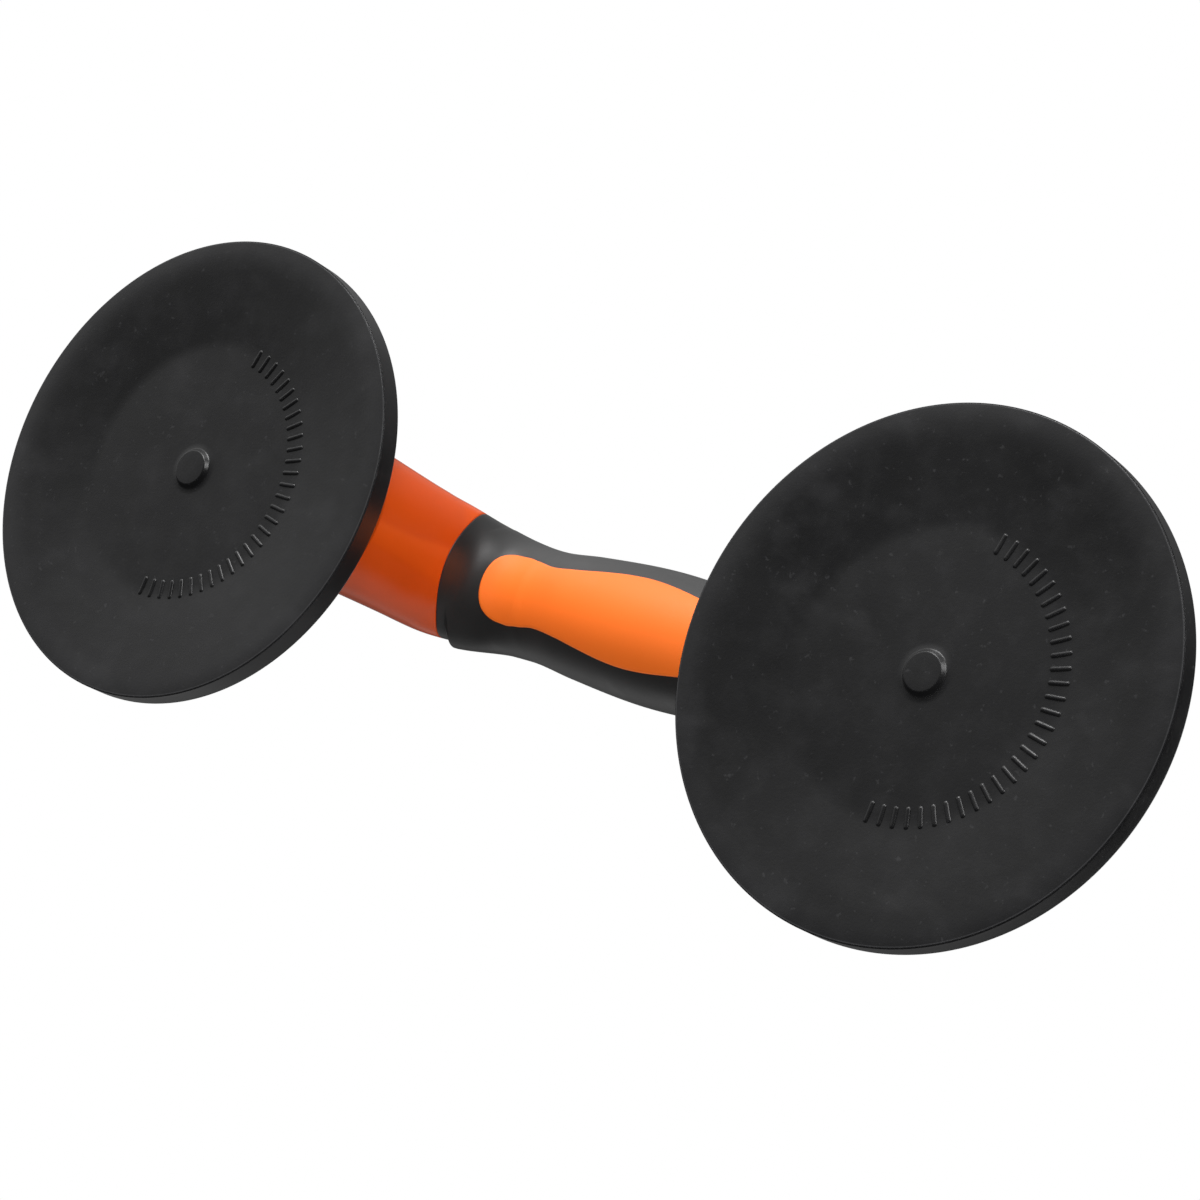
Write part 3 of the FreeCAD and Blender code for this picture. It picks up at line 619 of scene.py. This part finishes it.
# %% Inlay outline
INLAY_TIP = HEEL - 22.5
INLAY_SHOULDER = HEEL - 9.5
INLAY_RUNS = [INLAY_SHOULDER, HEEL - 5, HEEL + 1.5, HEEL + 7, HEEL + 15.6, HEEL + 22.7,
              HEEL + 30.7, HALF_RUN]
INLAY_WIDTHS = [9.2, 9.2, 8.7, 8.1, 8.9, 10.0, 11.1, 11.5]
UPPER_SQUEEZE = 0.34


def inlay_half_width(s, squeeze):
    """Half width at run s: a quarter ellipse up to the shoulder, then the smooth curve.

    Before the heel the run counts as heel - (heel - run) / squeeze, which draws the end in.
    """
    s = np.where(s > HALF_RUN, 2 * HALF_RUN - s, s)
    s = np.where(s < HEEL, HEEL - (HEEL - s) / squeeze, s)
    share = np.clip((INLAY_SHOULDER - s) / (INLAY_SHOULDER - INLAY_TIP), 0, 1)
    round_end = INLAY_WIDTHS[0] * np.sqrt(1 - share ** 2)
    return np.where(s < INLAY_SHOULDER, round_end,
                    smooth_curve(INLAY_RUNS, INLAY_WIDTHS, np.maximum(s, INLAY_SHOULDER)))


print("inlay waist: %.1f mm wide" % (2 * min(INLAY_WIDTHS)))

# %% [markdown]
# ### Laying the tongue on the arch
# The tongue uses the arch's own surface, a little proud of it, with its two edges pushed down
# into the sleeve so that no gap opens along them.

# %% Inlays
INLAY_PROUD, INLAY_EDGE = 0.35, 0.7
INLAY_DROP = 0.7 * INLAY_EDGE
INLAY_ROOTS = [[-1.4, -0.7]]


def inlay_grid(upper, along=180, across=45):
    """Rows run along the tongue and columns across it.

    At row angle t the run is middle - reach * cos(t), so rows crowd at the round ends, and
    columns stand at half width * -cos(angle), so they crowd at the sides. The distance to the
    outline is about (half width - |y|) / root(1 + slope^2), and within one edge of it the
    surface rolls down as a quarter ellipse. Two columns on each side go down into the sleeve.
    """
    squeeze = UPPER_SQUEEZE if upper else 1.0
    tip = HEEL - (HEEL - INLAY_TIP) * squeeze
    t = np.linspace(0, math.pi, along)[:, None]
    s = HALF_RUN - (HALF_RUN - tip) * np.cos(t)
    width = inlay_half_width(s, squeeze)
    slope = np.gradient(width[:, 0], s[:, 0])[:, None]
    y = -width * np.cos(np.linspace(0, math.pi, across))
    distance = (width - np.abs(y)) / np.sqrt(1 + slope ** 2)
    inside = np.clip(1 - distance / INLAY_EDGE, 0, 1)
    offset = INLAY_PROUD - INLAY_DROP * (1 - np.sqrt(1 - inside ** 2))
    y = np.hstack([y[:, :1], y[:, :1], y, y[:, -1:], y[:, -1:]])
    deep = np.repeat(INLAY_ROOTS, along, 0)
    offset = np.hstack([deep, offset, deep[:, ::-1]])
    half_width = smooth_curve(STATION, HALF_WIDTH, np.where(s > HALF_RUN, 2 * HALF_RUN - s, s))
    theta = np.arcsin(np.clip(y / half_width, -1, 1))
    return arch_point(s, math.pi - theta if upper else theta, offset)


inlays = []
for name, upper in (("lower", False), ("upper", True)):
    inlay = piece_from_grid("handle_inlay_" + name, inlay_grid(upper), wrap_columns=True)
    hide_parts("grip_inlay_" + name)
    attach(inlay, "body")
    inlays.append(inlay)
    print(inlay.name, len(inlay.data.polygons), "faces")

# %% [markdown]
# ## The housings
# Behind each disc sits a moulded dome with a tail that carries the leg. Seen from above it is a
# height over a plan: the dome's height falls with distance from the stud, the tail is a flat
# plate, and a smooth maximum joins the two without a crease. The plan comes first: it is the
# outline of a rubber band laid round the dome's circle and the leg's foot.

# %% Housing plan
DOME_RADIUS = 46.0
LEG_TUCK = 0.4
LEAST_FACING, OUT_OF_REACH = 0.3, 1e3


def plan_table(count=1441):
    """Edge of the housing seen from above, as its distance from the stud in each direction.

    The plan is the hull of the dome's circle and the leg's foot. Seen along direction psi the
    circle reaches its radius, and the foot's ellipse reaches place * cos(psi) + the root of
    (depth * cos(psi))^2 + (width * sin(psi))^2. In direction phi the edge of the hull is the
    least, over all psi, of the larger reach divided by cos(phi - psi).
    """
    psi = np.linspace(-np.pi, np.pi, count)
    depth, width = INNER_DEPTH[0] - LEG_TUCK, HALF_WIDTH[0] - LEG_TUCK
    foot = ((DISC_PLACE - LEG_PLACE) * np.cos(psi)
            + np.hypot(depth * np.cos(psi), width * np.sin(psi)))
    reach = np.maximum(DOME_RADIUS, foot)
    facing = np.cos(psi[:, None] - psi[None, :])
    edge = reach / np.maximum(facing, LEAST_FACING)
    return psi, np.min(np.where(facing > LEAST_FACING, edge, OUT_OF_REACH), axis=1)


plan_phi, plan_edge = plan_table()


def plan_radius(phi):
    """The plan's edge in direction phi, where 0 points at the leg."""
    return np.interp((phi + np.pi) % (2 * np.pi) - np.pi, plan_phi, plan_edge)


print("tail reaches %.1f mm from the stud" % float(plan_radius(np.array([0.0]))[0]))

# %% [markdown]
# ### The housing's height
# From the flat top the dome falls to its skirt along an arc. The arc's centre follows from its
# two ends and its radius. The edge of the housing is rounded over, as a moulding's edge is.

# %% Housing height
DOME_TOP_RADIUS, DOME_HEIGHT, SKIRT_TOP = 24.5, 24.0, 13.0
DOME_BULGE = 26.0
TAIL_BLEND, EDGE_ROUND = 1.6, 1.6


def dome_arc():
    """Centre of the arc of radius bulge that runs from the skirt up to the flat top.

    It lies square to the middle of the chord, at root(bulge^2 - length^2 / 4) from it.
    """
    low, high = np.array([DOME_RADIUS, SKIRT_TOP]), np.array([DOME_TOP_RADIUS, DOME_HEIGHT])
    middle, chord = (low + high) / 2, high - low
    length = np.linalg.norm(chord)
    inward = np.array([-chord[1], chord[0]]) / length
    return middle + inward * math.sqrt(DOME_BULGE ** 2 - length ** 2 / 4)


flank = dome_arc()


def dome_height(radius):
    """Flat top, then the flank's arc: centre height + sqrt(bulge^2 - (radius - centre)^2)."""
    arc = flank[1] + np.sqrt(np.maximum(DOME_BULGE ** 2 - (radius - flank[0]) ** 2, 0))
    return np.where(radius < DOME_TOP_RADIUS, DOME_HEIGHT, arc)


def smooth_max(a, b, blend):
    """The larger of a and b, with a parabola where they differ by less than blend.

    With near the share from 0 to 1 across that range, the parabola adds
    blend * near * (1 - near) to the straight mix of the two.
    """
    near = np.clip(0.5 + 0.5 * (a - b) / blend, 0, 1)
    return b + (a - b) * near + blend * near * (1 - near)


def housing_height(radius, phi):
    """Top of the housing at a place in its plan, with its edge rounded over.

    Within one edge round of the plan's edge a quarter circle of that radius comes off.
    """
    dome = np.where(radius < DOME_RADIUS, dome_height(radius), 0.0)
    top = np.minimum(smooth_max(dome, SKIRT_TOP, TAIL_BLEND), DOME_HEIGHT)
    roll = np.clip(1 - (plan_radius(phi) - radius) / EDGE_ROUND, 0, 1)
    return top - EDGE_ROUND * (1 - np.sqrt(1 - roll ** 2))


print("centre of the dome's arc: radius %.1f, height %.1f mm" % tuple(flank))

# %% [markdown]
# ### One closed surface
# The grid turns round the stud. Its rows go from the bore over the top, down the outer wall and
# back underneath through the hollow, to the bore again, so the housing is one closed shell with
# a real wall.

# %% Housing surface
BORE_RADIUS, ROUND_RADIUS = 5.3, 38
TOP_ROWS, FLANK_ROWS, TAIL_ROWS = (BORE_RADIUS, 22, 10), (22.5, ROUND_RADIUS, 24), 26
WALL_INSET = np.array([[0], [0], [0.4]])
WALL_HEIGHT = np.array([[10.6], [9.4], [9.0]])
HOLLOW = np.array([(ROUND_RADIUS, 9), (ROUND_RADIUS, 12), (42.5, 12), (42.3, 13.4),
                   (ROUND_RADIUS, 17.2), (31, 19.9), (22.7, 20.5), (13, 20.5), (13, 17.5),
                   (BORE_RADIUS, 17.5)])


def housing_grid(side):
    """Rows by columns: circles round the stud, then rows that spread out to the plan's edge.

    Past the round radius a row lies at round + (edge - round) * sin(t), so rows crowd at the
    edge. Then come the wall and the hollow. x = side * (place - radius * cos(phi)) and
    y = radius * sin(phi).
    """
    phi = np.linspace(0, 2 * np.pi, SEGMENTS, endpoint=False)[None, :]
    edge = plan_radius(phi)
    circles = np.concatenate([np.linspace(*TOP_ROWS), np.linspace(*FLANK_ROWS)])[:, None]
    share = np.sin(np.linspace(0, np.pi / 2, TAIL_ROWS)[1:])[:, None]
    radius = np.concatenate([circles + 0 * edge, ROUND_RADIUS + (edge - ROUND_RADIUS) * share])
    height = housing_height(radius, phi)
    radius = np.concatenate([radius, edge - WALL_INSET, HOLLOW[:, :1] + 0 * edge])
    height = np.concatenate([height, WALL_HEIGHT + 0 * edge, HOLLOW[:, 1:] + 0 * edge])
    x = side * (DISC_PLACE - radius * np.cos(phi))
    return np.stack([x, radius * np.sin(phi), height], -1)


housings = []
for name, side in SIDES.items():
    housing = piece_from_grid(name + "_housing", housing_grid(side),
                              wrap_rows=True, wrap_columns=True)
    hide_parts("frame")
    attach(housing, "body")
    housings.append(housing)
    print(housing.name, len(housing.data.polygons), "faces")

# %% [markdown]
# ## The legs
# A leg is the same arch surface from its foot to the seam. At its foot it flares into the
# housing with a moulded fillet: a quarter circle laid over the height of the housing below it,
# so it sits on dome and tail alike.

# %% Leg surface
FILLET, LEAST_FLARE, FLARE_FROM = 5.0, 0.25, 0.35
FILLET_ROWS, LEG_ROWS = 10, 60
SOLE_HEIGHT, EDGE_MARGIN, SUNK = 7.0, 0.05, 0.05
LID_RUN, LID_DEPTH = np.array([[0.3], [2], [2]]), np.array([[-0.6], [-3.0], [-8.0]])
LIP_DEPTH, LIP_RISE = np.array([[-3.0], [-3.0]]), np.array([[4.0], [0.0]])


def leg_grid(side):
    """Rows: lip inside the foot, fillet over the housing, arch up to the seam, cap inside.

    The fillet's radius grows from almost nothing on the inner side of the arch, where the leg
    runs straight down past the housing's edge, to its full size on the outer side. At angle
    turn a point of it stands flare * (1 - sin(turn)) out and flare * (1 - cos(turn)) up.
    """
    theta = theta_ring[None, :]
    away = np.clip((FLARE_FROM - np.cos(theta)) / (1 + FLARE_FROM), 0, 1)
    flare = LEAST_FLARE + FILLET * away * away * (3 - 2 * away)
    turn = np.linspace(0, np.pi / 2, FILLET_ROWS)[:, None]
    foot = arch_point(np.zeros_like(theta), theta, flare * (1 - np.sin(turn)))
    from_stud, y = foot[..., 0] + DISC_PLACE, foot[..., 1]
    radius, phi = np.hypot(from_stud, y), np.arctan2(y, from_stud)
    over_housing = radius < plan_radius(phi) - EDGE_MARGIN
    below = np.where(over_housing, housing_height(radius, phi), SOLE_HEIGHT)
    foot[..., 2] = below + flare * (1 - np.cos(turn)) - SUNK
    start = foot[-1:, :, 2] - FOOT_HEIGHT
    share = np.linspace(0, 1, LEG_ROWS)[1:, None]
    wall = arch_point(start + (seam_ring[None, :] - start) * share, theta)
    lid = arch_point(seam_ring[None, :] + LID_RUN, theta, LID_DEPTH)
    lip = arch_point(np.zeros_like(theta), theta, LIP_DEPTH)
    lip[..., 2] = foot[:1, :, 2] + LIP_RISE
    grid = np.concatenate([lip, foot, wall, lid])
    grid[..., 0] *= -side
    return grid


legs = []
for name, side in SIDES.items():
    leg = piece_from_grid(name + "_leg", leg_grid(side), wrap_rows=True, wrap_columns=True)
    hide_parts("frame")
    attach(leg, "body")
    legs.append(leg)
    print(leg.name, len(leg.data.polygons), "faces")

# %% [markdown]
# ## Disc rubber
# Moulded rubber is near black and a little shiny when new. Bloom clouds it, hands leave
# smudges, dust settles in specks, and the lip wears pale where it meets the glass. Painted
# light also brightens a wider ring near the rim. All of it reads the object's own coordinates,
# so nothing slides when a lever moves.

# %% Disc rubber
LIP_RADIUS, LIP_BAND = 0.0596, 0.00025  # metres, the pale line along the lip
PAINTED_LIGHT_RADIUS, PAINTED_LIGHT_BAND = 0.0580, 0.0070  # metres, a wider ring of painted light near the rim


def disc_rubber():
    """Near-black rubber. The distance from the stud is root((|x| - place)^2 + y^2)."""
    finish = Finish("disc rubber")
    x, y = finish.axes()[:2]
    from_stud = abs(x) - DISC_PLACE * MM
    square = from_stud * from_stud + y * y
    radius = square.maths("SQRT", square)
    cloud = finish.noise(13, 3, 0.55).step(0.35, 0.7)
    mottle = finish.noise(120, 4, 0.65).step(0.4, 0.7)
    smudge = finish.noise(38, 3, 0.6, stretch=(1.0, 1.5, 1.0)).step(0.52, 0.78)
    dust = finish.noise(520, 2, 0.7).step(0.64, 0.76)
    lip = radius.bell(LIP_RADIUS, LIP_BAND)
    # painted light: a wider ring near the rim is painted lighter, standing in for light the face
    # catches there
    rim_light = radius.bell(PAINTED_LIGHT_RADIUS, PAINTED_LIGHT_BAND)
    pale = cloud * 0.12 + mottle * 0.09 + smudge * 0.22 + dust * 0.4 + lip * 0.9 + rim_light * 0.2
    dark, light = linear(0.050, 0.050, 0.053), linear(0.19, 0.19, 0.195)
    finish.feed("Base Color", finish.mixed(pale, dark, light))
    finish.feed("Roughness", 0.28 + cloud * 0.06 + mottle * 0.04 + smudge * 0.10 + dust * 0.1)
    finish.bump(finish.noise(1500, 2, 0.6) * 0.6 + finish.noise(120, 2) * 1.5, 0.00003)
    return finish.material


rubber = disc_rubber()
print(rubber.name, "has", len(rubber.node_tree.nodes), "nodes")

# %% [markdown]
# ## Glossy moulding
# The frame comes out of a polished mould, so its orange skin mirrors its surroundings softly. A
# slight ripple from shrinkage bends the reflections, and fine scuffs dull them in patches.

# %% Glossy moulding
def glossy_moulding():
    """Deep orange plastic with a polished skin: slight ripple and fine scuffs."""
    finish = Finish("glossy orange moulding", IOR=1.46)
    cloud = finish.noise(18, 2)
    scuff = finish.noise(90, 4, 0.7, stretch=(1, 1, 6)).step(0.6, 0.85)
    dark, light = linear(0.82, 0.30, 0.06), linear(0.86, 0.33, 0.09)
    finish.feed("Base Color", finish.mixed(cloud, dark, light))
    finish.feed("Roughness", 0.14 + scuff * 0.14)
    finish.bump(finish.noise(260, 2), 0.00002)
    return finish.material


moulding = glossy_moulding()
print(moulding.name, "has", len(moulding.node_tree.nodes), "nodes")

# %% [markdown]
# ## Soft grips
# Sleeve and tongues are the same kind of soft rubber in two colours, with the fine even grain
# of an eroded mould. One function makes both, and the black one is a little shinier.

# %% Soft grips
def soft_grip(name, dark, light, roughness):
    """Soft moulded rubber: a fine even grain, slow colour drift and rubbed patches."""
    finish = Finish(name)
    drift = finish.noise(26, 3)
    rubbed = finish.noise(60, 3, 0.6).step(0.55, 0.75)
    finish.feed("Base Color", finish.mixed(drift, dark, light))
    finish.feed("Roughness", roughness - rubbed * 0.06 + finish.noise(700, 1) * 0.05)
    finish.bump(finish.noise(2200, 2, 0.6), 0.00003)
    return finish.material


black_grip = soft_grip("black soft grip", linear(0.135, 0.135, 0.135),
                       linear(0.165, 0.165, 0.165), 0.40)
orange_grip = soft_grip("orange soft grip", linear(1.0, 0.455, 0.13), linear(1.0, 0.49, 0.16), 0.58)
print("grips:", black_grip.name, "and", orange_grip.name)

# %% [markdown]
# ## Steel and nylon
# The small steel pieces are zinc plated or plain spring wire, with fine scratches along the
# lifter's length. The levers are nylon with a coarser grain. These pieces keep their packed
# shapes.

# %% Steel
def plated_steel(name, colour, roughness):
    """Metal with fine scratches along X and a cloudy plate."""
    finish = Finish(name, Metallic=1.0)
    cloud = finish.noise(140, 3, 0.6)
    scratch = finish.noise(500, 3, 0.7, stretch=(1, 12, 12))
    dull = tuple(0.75 * channel for channel in colour[:3]) + (1.0,)
    finish.feed("Base Color", finish.mixed(cloud, dull, colour))
    finish.feed("Roughness", roughness + cloud * 0.12 + scratch * 0.08)
    finish.bump(scratch, 0.00001)
    return finish.material


zinc = plated_steel("bright zinc plate", linear(0.80, 0.80, 0.78), 0.24)
wire = plated_steel("spring wire", linear(0.62, 0.62, 0.62), 0.3)
print("metals:", zinc.name, "and", wire.name)

# %% Nylon
def black_nylon():
    """Lever nylon: spark-eroded grain that catches the light, shiny where fingers rub."""
    finish = Finish("black nylon")
    rubbed = finish.noise(70, 2).step(0.5, 0.75)
    dark, light = linear(0.11, 0.11, 0.11), linear(0.15, 0.15, 0.15)
    finish.feed("Base Color", finish.mixed(rubbed, dark, light))
    finish.feed("Roughness", 0.56 - rubbed * 0.10)
    finish.bump(finish.noise(1400, 2, 0.7), 0.00005)
    return finish.material


nylon = black_nylon()
print(nylon.name, "has", len(nylon.node_tree.nodes), "nodes")

# %% [markdown]
# ## Dressing the pieces
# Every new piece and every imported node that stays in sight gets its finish. The nodes are only
# dressed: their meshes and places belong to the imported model.

# %% Dress every piece
def dress(material, *things):
    """Give each thing this material and no other."""
    for thing in things:
        thing.data.materials.clear()
        thing.data.materials.append(material)


dress(rubber, *discs.values())
dress(moulding, *housings, *legs)
dress(black_grip, sleeve)
dress(orange_grip, *inlays)
for name in SIDES:
    dress(nylon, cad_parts[name + "_lever"])
    for part in ("disc_insert", "wear_plate", "plate_screws", "lever_pin"):
        dress(zinc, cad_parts["%s_%s" % (name, part)])
    for part in ("return_spring", "pin_clip"):
        dress(wire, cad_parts["%s_%s" % (name, part)])
print("pieces dressed:", len(discs) + len(housings) + len(legs) + len(inlays) + 1)

# %% [markdown]
# ## The floor
# The photograph's ground is pure white and the camera looks up from below it. So the pale floor
# is solid only from above, and see-through from underneath, where its back faces the camera. It
# takes the lifter's shadow and keeps no light from it.

# %% Floor
FLOOR_SIZE, FLOOR_DROP = 3.0, 0.0006  # metres


def pale_floor():
    """Plain pale floor that is see-through from underneath."""
    finish = Finish("pale floor", Roughness=0.8)
    shade = finish.noise(3, 1)
    dark, light = linear(0.90, 0.90, 0.90), linear(0.93, 0.93, 0.93)
    finish.feed("Base Color", finish.mixed(shade, dark, light))
    back = finish.add("ShaderNodeNewGeometry").outputs["Backfacing"]
    clear = finish.add("ShaderNodeBsdfTransparent").outputs[0]
    cut = finish.add("ShaderNodeMixShader", None, {0: back, 1: finish.shader.outputs[0], 2: clear})
    finish.tree.links.new(cut.outputs[0], finish.tree.nodes["Material Output"].inputs[0])
    return finish.material


corners = np.array([[[-1, -1, 0], [1, -1, 0]], [[-1, 1, 0], [1, 1, 0]]], float)
floor_points = corners * FLOOR_SIZE / 2 / MM
floor_points[..., 2] = -FLOOR_DROP / MM
floor = piece_from_grid("floor", floor_points)
dress(pale_floor(), floor)
floor.visible_shadow = floor.visible_diffuse = floor.visible_glossy = False
print("floor normal up:", floor.data.polygons[0].normal.z > 0)

# %% [markdown]
# ## The world as a studio
# The eye sees plain white behind the lifter. Gloss would turn pale if it mirrored white all
# round, so it sees that white only where the photograph's backdrop stands, and elsewhere a dim
# room: one softbox low down, three soft walls higher up and a bright patch overhead. Each is
# the dot product of the ray's direction with the way it lies in, eased from 0 to 1.

# %% World
world = bpy.data.worlds.new("studio")
bpy.context.scene.world = world
world.use_nodes = True
sky = Nodes(world.node_tree)
way = sky.add("ShaderNodeTexCoord").outputs["Generated"]
ray = sky.add("ShaderNodeLightPath")

height = sky.facing(way, (0.0, 0.0, 1.0))

# Below the horizon: a dim floor of light and the softbox.
softbox = sky.facing(way, (-0.5, -0.75, 0.0)).step(0.1, 1.0)
below = 0.04 + softbox * 1.3

# Above it: three walls, the left one darker high up, and the patch overhead.
left_wall = sky.facing(way, (-1.0, 0.0, 0.0)).step(-0.05, 0.4)
back_wall = sky.facing(way, (0.15, 0.98, 0.0)).step(0.38, 0.58)
front_wall = sky.facing(way, (0.0, -1.0, 0.0)).step(0.35, 0.65)
ceiling = height.step(0.95, 0.99)
above = 0.03 + left_wall * (0.35 - height.step(0.62, 0.76) * 0.25)
above = above + back_wall * 0.35 + front_wall * 0.20 + ceiling * 0.8
studio = below + (above - below) * height.step(0.1, 0.5)

# White to the eye and through glass, and in gloss where the backdrop stands.
camera_ray, glossy_ray, glass_ray = [
    Number(sky, ray.outputs["Is %s Ray" % kind]) for kind in ("Camera", "Glossy", "Transmission")]
backdrop = sky.facing(way, CAMERA_AHEAD).step(0.975, 0.998) * glossy_ray
seen = camera_ray.maths_max(glass_ray)
level = studio + (1 - studio) * seen.maths_max(backdrop)
background = world.node_tree.nodes["Background"]
background.inputs["Color"].default_value = (1, 1, 1, 1)
world.node_tree.links.new(level.socket, background.inputs["Strength"])
print("world nodes:", len(world.node_tree.nodes))

# %% [markdown]
# ## Lamps
# Large square lamps light the lifter evenly from below, where the photograph was taken, and
# from above, for the other views. Two of them show in gloss, where the photograph has its
# highlights. The others only light, so that no reflection shows a lamp that wasn't there.

# %% Lamps
LOOK_AT = Vector((0, 0, 0.03))  # metres


def soft_lamp(name, direction, distance, size, power, in_gloss=True):
    """A square soft lamp at look-at + direction * distance, in metres, turned to look there."""
    lamp = bpy.data.objects.new(name, bpy.data.lights.new(name, "AREA"))
    lamp.data.shape, lamp.data.size, lamp.data.energy = "SQUARE", size, power
    way = Vector(direction).normalized()
    lamp.location = way * distance + LOOK_AT
    lamp.rotation_mode = "QUATERNION"
    lamp.rotation_quaternion = way.to_track_quat("Z", "Y")
    lamp.visible_camera = False
    lamp.visible_glossy = in_gloss
    bpy.context.scene.collection.objects.link(lamp)


soft_lamp("key_below", (-0.16, -0.83, -0.54), 1.1, 0.45, 8.0)
soft_lamp("collar_glint", (0.66, -0.67, -0.34), 1.2, 0.55, 6.5)
soft_lamp("side_below", (0.80, -0.20, -0.5), 1.2, 0.6, 3.0, in_gloss=False)
soft_lamp("back_below", (0.0, 0.35, -0.94), 1.2, 0.6, 7.5, in_gloss=False)
soft_lamp("key_above", (0.15, -0.2, 0.98), 1.2, 0.7, 8.0, in_gloss=False)
soft_lamp("back_above", (0.5, 0.7, 0.5), 1.3, 0.9, 4.0, in_gloss=False)

bpy.context.scene.view_settings.view_transform = "Standard"
print("lamps:", len(bpy.data.lights))
